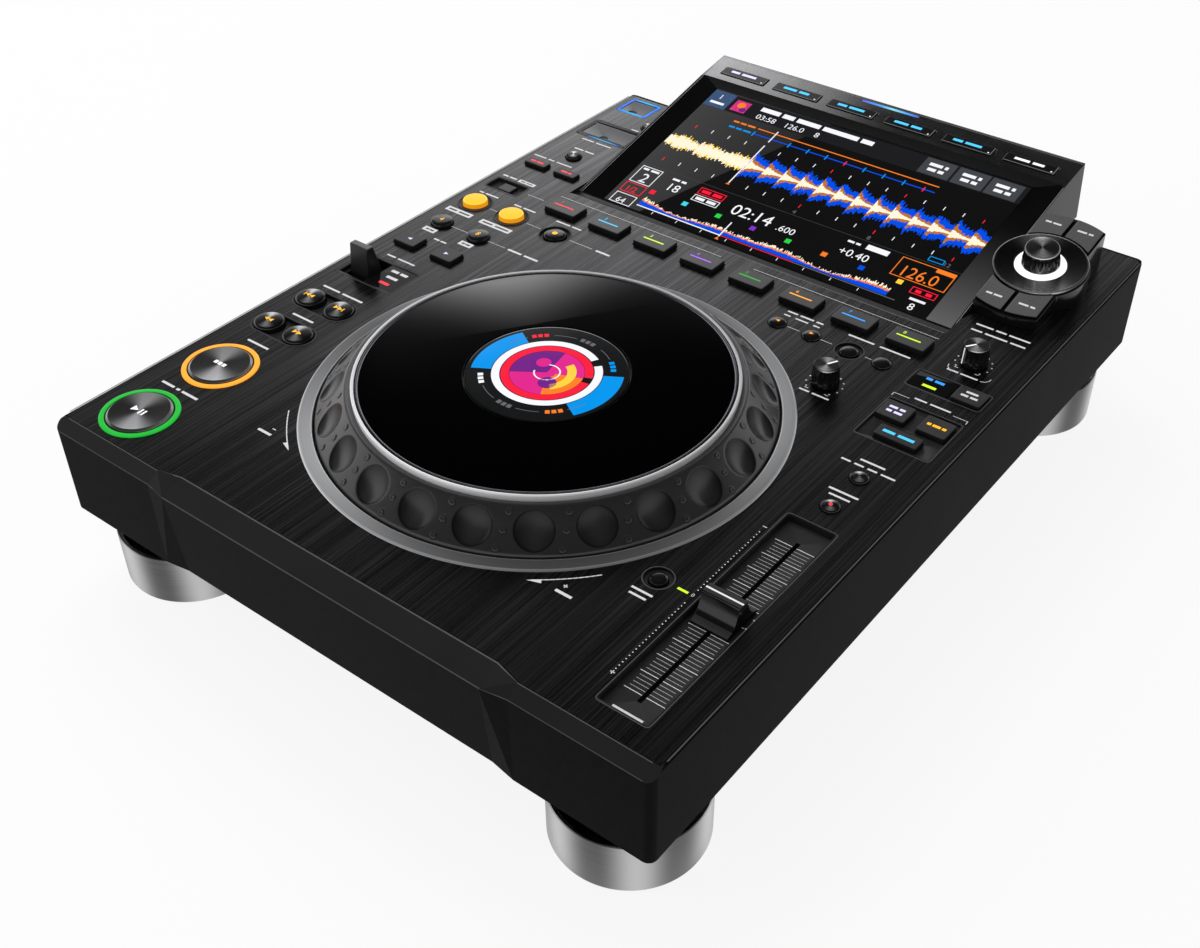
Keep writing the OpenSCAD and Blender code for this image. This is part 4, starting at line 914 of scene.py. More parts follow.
softened("caseShell", "bottom_case", "chassis", "case", 0, angle=1, pick=caseFinish,
         plain=False)
softened("panelPlate", "top_panel", "chassis", "panel", 0.12, angle=10, plain=False,
         crease=22)
softened("panelInserts", "panel_bezels", "chassis", "bezel", 0.15, pick=insertFinish,
         plain=False)
softened("podBlock", "pod_base", "chassis", "gloss", 0.35)
softened("innerUnits", "inner_units", "chassis", "board", 0.15, pick=unitFinish)
softened("rearJacks", "rear_jacks", "chassis", "bezel", 0.15, pick=jackFinish, plain=False)
for node, finish in (("jog_base", "cast"), ("foot_pads", "rubber")):
    solid = frame["nodes"][node]
    solid.data.materials.clear()
    solid.data.materials.append(finishes[finish])
print("case and panel done")

# ---- painted highlight lines and the black gap where the panel meets the case

seam = {"width": 163.2, "rear": 414.7, "corner": 2.8, "gap": 0.38, "lift": 0.03,
        "upper": [(-160.3, -0.1), (-100, -0.1), (-88, 3.2), (88, 3.2), (100, -0.1), (160.3, -0.1)],
        "lower": [(-160.3, -6.3), (-100, -6.3), (-88, -8.4), (88, -8.4), (100, -6.3), (160.3, -6.3)],
        "drop": 4.15}


def makeSeam():
    shape = Shape("gapLine")
    w = seam["width"] - seam["corner"]
    path = []
    rear = seam["rear"] - seam["corner"]
    for x, y, start in ((-w, seam["corner"], 180), (w, seam["corner"], 270), (w, rear, 0), (-w, rear, 90)):
        path += [polar(seam["corner"], math.radians(start + 15 * i), x, y) for i in range(7)]
        if start == 180:
            path += [(-100, 0), (-88, 3.3), (88, 3.3), (100, 0)]
    shape.outlined(path, seam["gap"], seam["lift"])
    # two painted highlight lines along the front band, from its upper edge to its lower one
    for finish, first, last in (("bandEdge", 0.012, 0.055), ("rimLine", 0.955, 0.992)):
        shape.use(finish)
        rows = []
        for share in (last, first):
            rows.append([(u[0], u[1] + (l[1] - u[1]) * share, -seam["drop"] * share)
                         for u, l in zip(seam["upper"], seam["lower"])])
        shape.rings(rows, closed=False, capLow=False, capHigh=False)
    for side in (-1, 1):
        shape.use("rimLine").bar(side * 163.9 - 0.3, side * 163.9 + 0.3, 3, 412, 0.02)
    put("panelSeam", shape, onPanel(0, 0), "chassis", ())


makeSeam()

# ---- feet: turned aluminium cups

def makeFeet():
    shape = Shape("footMetal")
    low = foot["pad"]
    top = low + foot["height"]
    r = foot["radius"]
    flat = foot["padRadius"]
    inner = r - foot["wall"]
    floor = low + foot["floor"]
    for x in (-foot["x"], foot["x"]):
        for back in (foot["front"], foot["rear"]):
            shape.lathe([
                (0, low + 1), (flat, low + 1), (flat, low), (r - foot["bevel"], low),
                (r - 1.1, low + 0.35), (r - 0.35, low + 1.1), (r, low + foot["bevel"]), (r, top - 0.4),
                (r - 0.4, top), (inner + 0.4, top), (inner, top - 0.4), (inner, floor), (foot["stem"], floor),
                (foot["stem"], foot["stemTop"]), (0, foot["stemTop"])], 144, x, back)
    place = Matrix.Translation((0, frontEdge, 0)) @ Matrix.Scale(mm, 4)
    put("footCups", shape, place, "chassis", ["feet"])


makeFeet()

# ---- jog wheel


def platterUp(r, angle):
    # height of the slope at a radius and an angle, with the finger dimples pressed in
    run = platter["slopeOut"] - platter["slopeIn"]
    fall = (platter["inUp"] - platter["outUp"]) / run
    up = platter["inUp"] - fall * (r - platter["slopeIn"])
    step = 2 * math.pi / platter["dimples"]
    start = math.radians(platter["offset"])
    nearest = round((angle - start) / step) * step + start
    middle = (platter["slopeIn"] + platter["slopeOut"]) / 2
    across = middle * math.sin(angle - nearest) * (r / middle)
    along = (r - middle) * math.sqrt(1 + fall * fall)
    ball = platter["ball"]
    sink = ball - math.sqrt(ball * ball - (platter["dimpleWidth"] / 2) ** 2)
    depth = math.sqrt(max(ball * ball - across * across - along * along, 0.0)) - (ball - sink)
    soft = 0.03
    depth = 0.5 * (depth + math.sqrt(depth * depth + soft * soft)) - 0.005
    return up - max(depth, 0.0) * math.sqrt(1 + fall * fall) * 0.96


def makePlatter():
    shape = Shape("platter")
    count = platter["dimples"] * 30
    slope = [platter["slopeIn"] + 0.05 + 13.55 * i / 40 for i in range(41)]
    below = [(43.05, -9.5), (43.05, 11.8), (85.6, 11.8), (98.4, -0.4), (100.6, -1.6), (103, -1.6),
             (103, 0.5), (102.9, 0.9)]
    above = [(88.4, 15.52), (88.0, 15.5), (86.3, 15.1), (85.95, 14.9), (85.9, 14.4), (38.05, 14.4),
             (38.05, -9.5), (43.05, -9.5)]
    turns = [2 * math.pi * i / count for i in range(count)]
    rows = [[(*polar(r, a), z) for a in turns] for r, z in below]
    rows += [[(*polar(r, a), platterUp(r, a)) for a in turns] for r in reversed(slope)]
    rows += [[(*polar(r, a), z) for a in turns] for r, z in above]
    shape.rings(rows, capLow=False, capHigh=False)
    put("platterRing", shape, onPanel(**jogAxis), "jog_wheel", ["jog_platter"], angle=50)
    # three pips stand in a slanted row between each two dimples
    middle = (platter["slopeIn"] + platter["slopeOut"]) / 2
    middleUp = (platter["inUp"] + platter["outUp"]) / 2
    tilt = math.atan2(platter["inUp"] - platter["outUp"], platter["slopeOut"] - platter["slopeIn"])
    pips = Shape("platter")
    for step in (-1, 0, 1):
        one = Shape("platter")
        r = platter["pip"]
        h = platter["pipUp"]
        one.lathe([
            (platter["moat"], -0.1), (platter["moat"] - 0.08, 0.04), (r + 0.25, 0.04), (r + 0.02, -0.05),
            (r, h * 0.6), (r - 0.25, h * 0.92), (r - 0.65, h), (r - 1.0, h * 0.8), (0, h * 0.72)], 16)
        along = step * platter["pipStep"]
        turn = 180 / platter["dimples"] + platter["offset"] + step * 1.1
        place = Matrix.Translation((middle - along * math.cos(tilt), 0, middleUp + along * math.sin(tilt)))
        one.bm.transform(Matrix.Rotation(math.radians(turn), 4, "Z") @ place @ Matrix.Rotation(tilt, 4, "Y"))
        pips.join(one)
    repeated("platterPips", pips, onPanel(**jogAxis), "jog_wheel", platter["dimples"],
             turn=360 / platter["dimples"])


def makeJogDisc():
    shape = Shape("jogGloss")
    shape.lathe([(41, 14.4), (85.7, 14.4), (85.7, 16.4), (82.2, 17), (81.9, 17), (37.3, 17)], 192)
    shape.use("gapLine").lathe([(37.3, 17), (37.1, 16.85), (37.1, 15.9), (41, 15.9), (41, 14.4)], 192)
    put("jogTopDisc", shape, onPanel(**jogAxis), "jog_wheel", ["jog_disc"])
    rim = Shape("chrome")
    rim.lathe([(85.75, 14.6), (85.8, 16.9), (85.65, 17.35), (85.3, 17.62), (84.8, 17.65), (84.4, 17.45),
               (84.2, 17.2)], 256)
    rim.use("gapLine").lathe([(84.2, 17.2), (84.15, 16.9), (83.65, 16.9), (83.6, 17.15)], 256)
    rim.use("rimGrey").lathe([(83.6, 17.15), (83.5, 17.4), (83.2, 17.52), (82.9, 17.48), (82.65, 17.3),
                              (82.4, 17.02), (82.3, 16.8), (85.75, 14.6)], 256)
    put("jogBrightRim", rim, onPanel(**jogAxis), "jog_wheel", ())


def makeJogDisplay():
    # the fixed round display: a glass disc with a plain lit design
    glass = Shape("glass")
    glass.lathe([(36, 16.92), (0, 16.92)], 128)
    glass.use("gapLine").lathe([(0, 12.6), (36.4, 12.6), (36.4, 16.7), (36.2, 16.88), (36, 16.92)], 128)
    put("jogDisplayGlass", glass, onPanel(**jogAxis), "chassis", ["jog_display"])
    art = Shape("artGrey")
    z = 16.95
    art.dot(0, 0, 35.6, z, 96)
    art.use("artBlue")
    for side in (0, 180):
        art.arc(25, 34, side - 31, side + 31, z + 0.02, steps=30)
    art.use("artWhite").arc(21, 24.6, 61, 409, z + 0.02, steps=72)
    art.use("artRed").arc(16.8, 20.5, 24, 372, z + 0.02, steps=72)
    art.use("artMagenta").dot(0, 0, 16.6, z + 0.02, 64)
    art.use("artPurple").arc(0, 16.6, 100, 215, z + 0.03, steps=30)
    art.use("artOrange").arc(4, 16.6, -60, 20, z + 0.04, steps=24)
    art.use("artYellow").arc(9, 13, -45, 65, z + 0.05, steps=24)
    art.use("artPurple").dot(5, -6, 4.2, z + 0.05, 32)
    art.use("artWhite").arc(5.4, 6.1, -160, 120, z + 0.05, 0, 0, 40)
    art.use("artMagenta").dot(-6, 5, 3.4, z + 0.05, 32)
    for at, finish, end in ((135, "artRed", 29), (90, "artMid", 33), (45, "artBlue", 29),
                            (-135, "artWhite", 33), (-90, "artMid", 33), (-45, "artOrange", 29)):
        art.use(finish)
        for part in (-7, -1.5, 4):
            art.arc(28, 30.4, at + part, at + part + 4, z + 0.03, steps=3)
        art.use("artMid").arc(29, 29.35, at + 12, at + end, z + 0.03, steps=8)
    put("jogDisplayPicture", art, onPanel(**jogAxis), "chassis", ())


def makeJogSurround():
    shape = Shape("surround")
    shape.lathe([(104.1, -2), (105, -2), (105, 0), (110.7, 0)], 256)
    shape.use("surroundEdge").lathe([
        (110.7, 0), (110.7, 0.2), (110.5, 0.5), (110.1, 0.78), (109.8, 0.8)], 256)
    shape.use("surround").lathe([(109.8, 0.8), (104.6, 0.8)], 256)
    shape.use("surroundEdge").lathe([(104.6, 0.8), (104.25, 0.72), (104.1, 0.5)], 256)
    shape.use("surround").lathe([(104.1, 0.5), (104.1, -2)], 256)
    put("jogSurroundRing", shape, onPanel(**jogAxis), "chassis", ["trim_rings"])


pictureColours = {
    "artGrey": (0.006, 0.0065, 0.007), "artBlue": (0.0, 0.28, 0.78), "artWhite": (0.85, 0.86, 0.9),
    "artRed": (0.95, 0.012, 0.045), "artMagenta": (0.7, 0.02, 0.25), "artPurple": (0.16, 0.015, 0.22),
    "artOrange": (0.9, 0.2, 0.02), "artYellow": (0.95, 0.6, 0.05), "artMid": (0.13, 0.13, 0.14),
    "artBlack": (0.0, 0.0, 0.0), "artGreen": (0.02, 0.6, 0.06), "artCyan": (0.05, 0.65, 0.75),
    "artBar": (0.011, 0.011, 0.013), "artTab": (0.05, 0.055, 0.062), "artSteel": (0.06, 0.12, 0.26),
    "artDeep": (0.0, 0.07, 0.72), "artBrown": (0.48, 0.16, 0.015), "artCream": (0.95, 0.85, 0.65),
    "artViolet": (0.2, 0.03, 0.5), "artPink": (0.9, 0.05, 0.3)}


def pictureFinish(name, colour):
    # pixels behind gloss glass
    f = Finish(name)
    cloud = f.noise(f.point(), 60.0, 2.0)
    glow = f.blend(cloud, shade(colour, 0.94), shade(colour, 1.04))
    return f.surface(colour=shade(colour, 0.15), rough=f.between(cloud, 0.06, 0.12), gloss=0.5, light=glow,
                     power=1.0, normal=f.relief(cloud, 0.02, 0.00001))


def sheenFinish():
    # a painted reflection of the room's pale light on the left of the glass, fading to the right
    f = Finish("artSheen")
    share = f.share(f.axis(f.point(), "X"), -0.1, -0.025)
    cloud = f.noise(f.point(), 40.0, 3.0)
    return f.surface(colour=grey(0.01), rough=f.between(cloud, 0.06, 0.12), gloss=0.5, power=1.0,
                     light=f.blend(share, grey(0.045), grey(0.008)), normal=f.relief(cloud, 0.02, 0.00001))


for name, colour in pictureColours.items():
    finishes[name] = pictureFinish(name, colour)
finishes["artSheen"] = sheenFinish()

makePlatter()
makeJogDisc()
makeJogDisplay()
makeJogSurround()
print("jog wheel done")

# ---- transport buttons and the lit rings round them

transport = {"radius": 14.7, "rise": 1.5, "chamfer": 1.1, "ringOut": 17.8, "ringIn": 15.3, "ringRise": 0.6,
             "playBack": 21.0, "cueBack": 67.0, "x": -138.2, "playColour": (0.012, 0.4, 0.035),
             "cueColour": (0.6, 0.25, 0.02), "symbol": 1.35}


def makeTransport(name, node, back, ringFinish):
    centre = centreOf(transport["x"], back)
    # the cap's top and chamfer carry painted highlight wedges; the ring's inner wall glows a darker copy of
    # its colour as painted shade
    finishes[name + "Top"] = spun(name + "Top", centre, (0.72, 0.72, 0.74), 0.3, 2600.0, 0.06,
                                  [(121.0, 1.05, 2.8, 2)], metal=0.8)
    finishes[name + "Edge"] = spun(name + "Edge", centre, (0.62, 0.62, 0.63), 0.2, 1800.0, 0.25,
                                   [(15.0, 0.75, 2.4, 2)], metal=0.8)
    finishes[name + "Shade"] = lit(name + "Shade", shade(transport[name + "Colour"], 0.2), 0.6)
    r = transport["radius"]
    top = transport["rise"]
    shape = Shape(name + "Edge")
    profile = sprung([(0, 0), (r, 0), (r, top - transport["chamfer"]), (r - 0.12, top - 0.75),
                      (r - 0.95, top - 0.08), (r - 1.1, top)], r, -3.2)
    shape.lathe(profile, 128)
    shape.use(name + "Top").lathe([(r - 1.1, top), (r - 1.25, top - 0.02), (0, top - 0.02)], 128)
    put(name + "Cap", shape, onPanel(transport["x"], back), node + "_body", [node],
        angle=24)
    ring = Shape(ringFinish)
    outline = ringProfile(transport["ringOut"], transport["ringIn"], -3.2, transport["ringRise"], 0.35)
    ring.lathe(outline[:6], 128)
    ring.use(name + "Shade").lathe(outline[5:], 128)
    put(name + "GlowRing", ring, onPanel(transport["x"], back), "chassis", ["light_guides"])
    mark = Shape("printBright")
    if name == "play":
        mark.flat([(-0.3, 0), (-3.1, 1.35), (-3.1, -1.35)])
        mark.bar(0.4, 1.15, -1.35, 1.35)
        mark.bar(1.9, 2.65, -1.35, 1.35)
    else:
        mark.words(-2.7, 2.7, 0, 1.6, parts=(3, 3, 3))
    mark.bm.transform(Matrix.Scale(transport["symbol"], 4))
    put(name + "Symbol", mark, onPanel(transport["x"], back, top + 0.02), node + "_body", ())


makeTransport("play", "play_button", transport["playBack"], "green")
makeTransport("cue", "cue_button", transport["cueBack"], "orange")

# ---- round buttons

searchPairs = {"search": ("search_buttons", (-138.4, 105.8)),
               "trackSearch": ("track_search_buttons", (-138.4, 132.6))}
dome = {"radius": 7.6, "apart": 9.9}


def makeSearch(name, node, place):
    pair = None
    r = dome["radius"]
    for side in (-1, 1):
        x = side * dome["apart"]
        key = name + ("Left" if side < 0 else "Right")
        # painted highlight wedges on each dome's top
        finishes[key] = spun(key, centreOf(place[0] + x, place[1]), (0.62, 0.62, 0.64), 0.26, 2200.0, 0.02,
                             [(120.0, 1.0, 5.0, 2)], metal=0.85)
        shape = Shape("keyGloss")
        shape.lathe(sprung([(0, 0), (r, 0), (r, 0.2), (r - 0.12, 0.7), (r - 0.45, 1.15), (r - 0.95, 1.45)],
                           r, -3.2), 64)
        shape.use(key).lathe([
            (r - 0.95, 1.45), (r - 1.6, 1.6), (r - 3.2, 1.8), (r - 5.4, 1.95), (0, 2.0)], 64)
        shape.bm.transform(Matrix.Translation((x, 0, 0)))
        pair = pair.join(shape) if pair else shape
    put(name + "Domes", pair, onPanel(*place), node + "_body", [node])
    marks = Shape("amberTop")
    for side in (-1, 1):
        x = side * dome["apart"]
        outlines = [[(-2.2, -1.1), (-2.2, 1.1), (0, 0)], [(0.1, -1.1), (0.1, 1.1), (2.3, 0)]]
        if name == "trackSearch":
            outlines.append([(2.4, -1.1), (2.9, -1.1), (2.9, 1.1), (2.4, 1.1)])
        for outline in outlines:   # each lies on the dome's curve and faces up
            points = [(x + side * px * 1.15, py * 1.2, 2.06 - px * px * 0.012) for px, py in outline]
            marks.flat(points[::-1] if (side > 0) == (len(points) == 3) else points)
    put(name + "Symbols", marks, onPanel(*place), node + "_body", ())


for name, (node, place) in searchPairs.items():
    makeSearch(name, node, place)

roundButtons = {   # node: places, radius, rise, seat, crown
    "beat_loop_buttons": ([(-148.05, 227.2), (-122.35, 227.2)], 6.0, 2.0, -2.0, 0.3),
    "reloop_button": ([(-92.3, 253.7)], 6.0, 0.5, -3.2, 0.5),
    "time_button": ([(-140.3, 328.6)], 4.7, 1.6, -2.0, 0.4),
    "usb_stop_button": ([(-128.4, 383.5)], 4.0, 1.6, -2.0, 0.4),
    "cue_call_buttons": ([(46.5, 253.7), (65.5, 253.7)], 4.6, 0.9, -2.0, 0.6),
    "delete_button": ([(86.2, 253.7)], 4.6, 0.2, -3.2, 0.6),
    "memory_button": ([(103.7, 253.7)], 4.6, 0.9, -2.0, 0.6),
    "tempo_range_button": ([(138.2, 174.4)], 4.3, 0.9, -2.0, 0.6),
    "master_tempo_button": ([(138.2, 151.2)], 4.3, 0.9, -2.0, 0.6),
    "tempo_reset_button": ([(107.6, 74.4)], 3.9, 0.2, -3.2, 0.6)}
turnedTops = ("time_button", "usb_stop_button", "tempo_range_button", "master_tempo_button")


def makeRoundButtons():
    for node, (places, r, rise, seat, crown) in roundButtons.items():
        shape = Shape("keyGloss")
        profile = sprung(capProfile(r, 0, rise, 0.7, crown), r, seat)
        for x, back in places:
            if node in turnedTops:
                top = node + "_top"
                # painted highlight wedges on the turned top
                finishes[top] = spun(top, centreOf(x, back), grey(0.62), 0.26, 2200.0, 0.03, [bowTieHighlight],
                                     metal=0.85)
                shape.use("keyGloss").lathe(profile[:-5], 56, x, back)
                shape.use(top).lathe(profile[-6:], 56, x, back)
            else:
                shape.lathe(profile, 56, x, back)
        put(node.replace("_", "-"), shape, onPanel(0, 0), node + "_body", [node], angle=40)


makeRoundButtons()

loopButton = {"radius": 6.8, "rise": 2.4, "back": 254.1,
              "x": {"loop_in_button": -148.6, "loop_out_button": -122.8}}


def makeLoopButtons():
    for node, x in loopButton["x"].items():
        r = loopButton["radius"]
        top = loopButton["rise"]
        shape = Shape("amber")
        shape.lathe(sprung([(0, 0), (r, 0), (r, top - 0.9), (r - 0.15, top - 0.4), (r - 0.4, top - 0.1)],
                           r, -3.2), 72)
        # a painted highlight ring between the glowing side and top
        shape.use("amberEdgeHighlight").lathe([(r - 0.4, top - 0.1), (r - 0.75, top)], 72)
        shape.use("amberTop").lathe([(r - 0.75, top), (0, top)], 72)
        put(node.replace("_", "-"), shape, onPanel(x, loopButton["back"]), node + "_body", [node],
            angle=40)


makeLoopButtons()
print("buttons done")

# ---- keys with a flat top, from the solids

def topped(top, side):
    # one finish for the faces that look up, another for the rest; a lighter top finish is painted light on
    # the keys' tops
    return lambda x, back, z, normal: top if normal.z > 0.8 else side


for node, finish, width, top in (
        ("beat_jump_keys", "keyBlack", 0.45, "keyTop"), ("recall_key", "keyGloss", 0.6, "keyTop"),
        ("mode_keys", "keyBlack", 0.5, "keyTop"), ("jog_mode_key", "keyBlack", 0.45, "keyTop"),
        ("beat_sync_key", "keyBlack", 0.45, "keyTop"), ("master_key", "keyBlack", 0.45, "keyTop"),
        ("key_sync_key", "keyBlack", 0.45, "keyTop"), ("usb_flap", "flap", 0.15, "flap"),
        ("card_lid", "flap", 0.15, "flap"), ("direction_lever", "keyBlack", 0.6, "podKey"),
        ("tempo_slider", "keyGloss", 0.3, "keyTop"), ("screen_keys_left", "keyGloss", 0.35, "keyGloss"),
        ("screen_keys_right", "keyGloss", 0.35, "keyGloss"), ("selector_keys_rear", "gloss", 0.5, "podKey"),
        ("selector_keys_front", "gloss", 0.5, "podKey"), ("selector_shaft", "shaft", 0.2, "shaft")):
    softened(node.replace("_", "-"), node, bodies[node], finish, width, pick=topped(top, finish))

hotCue = {"pitch": 29.9, "x": 0.9, "back": 276.8, "lampUp": 2.62,
          "colours": ("red", "cyan", "lime", "violet", "green", "orange", "blue", "lime")}


def makeHotCues():
    for i in range(8):
        node = "hot_cue_key_" + str(i + 1)
        x = hotCue["x"] + (i - 3.5) * hotCue["pitch"]
        softened("hot-cue-key-" + str(i + 1), node, node + "_body", "keyBlack", 0.5,
                 pick=topped("keyMid", "keyBlack"))
        lamp = Shape(hotCue["colours"][i])
        lamp.bar(-7.2, 5.6, -0.7, 0.25)
        lamp.digits(str(i + 1), -5.2, 1.9, 2.3)
        put("hot-cue-lamp-" + str(i + 1), lamp, onPanel(x, hotCue["back"], hotCue["lampUp"]),
            node + "_body", ())


makeHotCues()
print("keys done")

# ---- painted highlight lines round the trays, pockets and cups

trayEdges = {   # name: x, back, width, depth, corner, lift
    "searchPocket": (-138.4, 105.8, 38.0, 17.6, 8.79, 0.02),
    "trackPocket": (-138.4, 132.6, 38.0, 17.6, 8.79, 0.02),
    "leverFrame": (-139.0, 169.9, 39.0, 23.2, 2.0, 0.02),
    "recallTray": (-147.0, 278.5, 23.6, 13.0, 2.0, 0.02),
    "jogModeTray": (138.0, 253.7, 38.2, 15.4, 2.0, 0.02),
    "syncTray": (137.8, 217.3, 37.6, 33.4, 2.0, 0.02),
    "sliderWell": (138.2, 74.4, 24.4, 128.0, 2.0, 0.02),
    "cardFrame": (-141.3, 364.4, 36.0, 22.0, 2.0, 0.02),
    "loopIn": (-148.6, 254.1, 19.0, 19.0, 9.49, 0.32),
    "loopOut": (-122.8, 254.1, 19.0, 19.0, 9.49, 0.32),
    "reloop": (-92.3, 253.7, 17.6, 17.6, 8.79, 0.02),
    "delete": (86.2, 253.7, 14.6, 14.6, 7.29, 0.02),
    "tempoReset": (107.6, 74.4, 13.4, 13.4, 6.69, 0.02)}


def makeTrayEdges():
    shape = Shape("rimLine")
    for x, back, width, depth, corner, lift in trayEdges.values():
        outline = roundedOutline(width - 0.1, depth - 0.1, corner - 0.05, x, back, 12)
        shape.outlined(outline, 0.42, lift + 0.02, 0.02)
    for x in loopButton["x"].values():
        shape.outlined(roundedOutline(15.6, 15.6, 7.79, x, loopButton["back"], 12), 0.3, 0.34, 0.0)
    put("trayEdgeLines", shape, onPanel(0, 0), "chassis", ())


# ---- printed lines, dots and plain bars in place of the labels

printed = {
    "lift": 0.03, "line": 0.3,
    # x from, x to, back
    "dashes": [(-116, -10, 288), (10, 115, 288), (-138, -132.5, 253.8), (-112, -102, 253.8),
               (-82.5, -67.5, 253.8), (-141.5, -130, 227.3), (-115.8, -104, 227.3), (-132, -120.5, 278.5),
               (52, 59, 253.7), (70.5, 77, 253.7), (94.8, 98.4, 253.7)],
    # x from, x to, back, height, lengths of the words
    "labels": [(-65, -56, 253.8, 1.5, (4,)), (-102, -82, 227.3, 1.5, (4, 4)),
               (-158, -148, 288, 1.3, (3, 4)), (-155.5, -142, 265.5, 1.2, (2, 6)),
               (-130.5, -115.5, 265.5, 1.2, (3, 5)), (-101, -84, 265.5, 1.2, (6, 4)),
               (-140, -131.5, 212.3, 1.2, (4, 4)), (-148, -129, 186, 1.2, (3, 6)),
               (-152, -125, 145, 1.3, (5, 6)), (-145, -131, 118, 1.3, (6,)),
               (-145, -131, 89.5, 1.3, (3,)), (-150, -126, 43, 1.4, (4, 1, 5)),
               (45, 65, 265.5, 1.2, (3, 4, 2)), (45, 65, 262, 1.0, (1, 2, 1)), (79, 93, 265.5, 1.2, (6,)),
               (96, 112, 265.5, 1.2, (6,)), (83.5, 99, 214.3, 1.1, (3, 5)),
               (129.5, 145, 268.6, 1.1, (4, 6)), (123, 151, 311, 1.3, (5, 3, 6)),
               (123, 151, 305.5, 1.3, (3, 6, 4)), (132, 144, 186, 1.2, (5,)),
               (125, 151, 182, 1.1, (2, 2, 2, 3)), (131, 145, 162, 1.2, (6,)),
               (133, 143, 158.6, 1.1, (5,)), (102, 112, 64.5, 1.1, (5,)), (103, 111, 61.5, 1.1, (5,)),
               (129, 147, 239, 1.1, (3, 5)), (-160, -133, 317.6, 1.1, (4, 2, 5)),
               (-147, -133, 338, 1.2, (4, 4)), (-135, -122, 376.5, 1.1, (3, 4)),
               (-151, -130, 350, 1.1, (4, 5))],
    # x from, x to, back, height
    "boxes": [(-157.5, -140, 241.3, 4.2), (-133.5, -112.5, 241.3, 4.2), (-152.5, -144, 217.8, 4.0),
              (-127, -118.5, 217.8, 4.0), (-146.5, -135, 288, 3.0)],
    # thickness and path of the brackets beside the knob and over the sync keys
    "brackets": [(0.35, [(128.5, 272.5), (128.8, 270.8), (130.2, 269.2), (132.3, 268.4)]),
                 (0.35, [(146.6, 268.4), (148.6, 269.2), (149.6, 270.8), (149.8, 272.5)]),
                 (0.3, [(119.4, 235.2), (119.4, 237.4), (127, 237.4)]),
                 (0.3, [(156.2, 235.2), (156.2, 237.4), (149, 237.4)])],
    # x from, x to, back from, back to of the slider's plus and minus
    "signs": [(122.8, 124.8, 124.3, 124.7), (122.8, 124.8, 24.3, 24.7), (123.6, 124.0, 23.5, 25.5)],
    # the two knobs' rows of dots and the bars at their ends: x, back
    "knobs": {"adjustDots": (91, 224.1), "vinylDots": (137.5, 279.6)}}


def makePanelPrints():
    z = printed["lift"]
    half = printed["line"] / 2
    ink = Shape("print")
    for x0, x1, y in printed["dashes"]:
        ink.bar(x0, x1, y - half, y + half, z)
    for x0, x1, y, tall, parts in printed["labels"]:
        ink.words(x0, x1, y, tall, z, parts)
    for x0, x1, y, tall in printed["boxes"]:
        ink.bar(x0, x1, y - tall / 2, y + tall / 2, z)
    ink.use("rimLine")
    for x0, x1, y, tall in printed["boxes"]:
        ink.words(x0 + 1.6, x1 - 1.6, y, tall * 0.3, z + 0.01, (3, 4))
    ink.use("print")
    for side in (-1, 1):      # arrows for the wheel's turn

        def beside(r, degrees):
            across, back = polar(r, math.radians(degrees))
            return jogAxis["x"] + side * across, jogAxis["back"] + back

        ink.stroke([beside(115, -40 - 13.4 * i / 12) for i in range(13)], 0.5, z)
        ink.flat([beside(115, -54.6), beside(114.7, -51.6), beside(116.9, -51.6)], z + 0.01)
        ink.bar(side * 82 - 1, side * 82 + 1, 49 - 0.25, 49 + 0.25, z)
        ink.words(side * 84 - 4, side * 84 + 4, 45.2, 1.4, z, (4,))
    ink.bar(81.75, 82.25, 48, 50, z)
    for x, back in printed["knobs"].values():
        for end in (-1, 1):
            ink.bar(x + end * 5.2 - 1.0, x + end * 5.2 + 1.0, back - 7.6, back - 7.2, z)
    for thick, points in printed["brackets"]:
        ink.stroke(points, thick, z)
    for sides in printed["signs"]:
        ink.bar(*sides, z)
    ink.digits("0", 123.1, 73.7, 1.9, z)
    ink.use("lime").bar(116.7, 121.6, 73.8, 75.0, z)
    put("panelPrints", ink, onPanel(0, 0), "chassis", ())
    for name, (x, back) in printed["knobs"].items():
        dot = Shape("print")
        dot.dot(8.6, 0, 0.42, z, 10)
        repeated(name, dot, onPanel(x, back), "chassis", 11, turn=27, start=-45)
    for name, back, count in (("tempoDotsFront", 26.6, 22), ("tempoDotsRear", 78.0, 22)):
        dot = Shape("print")
        dot.dot(123.7, back, 0.3, z, 8)
        repeated(name, dot, onPanel(0, 0), "chassis", count, shift=(0, 2.03, 0))


ladder = {
    "floor": -3.47, "middle": 74.4,
    # finish, count, pitch, half width, lift, from and to on either side of the groove
    "ticks": {"tempoTicksLong": ("print", 11, 10.0, 0.16, 0.02, ((129, 137.1), (139.2, 147.4))),
              "tempoTicksShort": ("printDim", 51, 2.0, 0.1, 0.0, ((130.2, 137.1), (139.2, 146.4)))}}


def makeTempoLadder():
    # the slider's well: ticks and a label on its floor, two dots at its right edge
    for name, (finish, count, pitch, half, lift, spans) in ladder["ticks"].items():
        tick = Shape(finish)
        start = ladder["middle"] - pitch * (count - 1) / 2
        for x0, x1 in spans:
            tick.bar(x0, x1, start - half, start + half, ladder["floor"] + lift)
        repeated(name, tick, onPanel(0, 0), "chassis", count, shift=(0, pitch, 0))
    mark = Shape("print")
    mark.words(131.5, 145, 14.2, 1.6, ladder["floor"], (6,))
    for back in (71.6, 77.2):
        mark.dot(149.9, back, 0.32, 0.06, 10)
    put("tempoWellMarks", mark, onPanel(0, 0), "chassis", ())


makeTrayEdges()
makePanelPrints()
makeTempoLadder()
print("prints done")

# ---- legends on the keys: plain bars, arrows, dots and figures

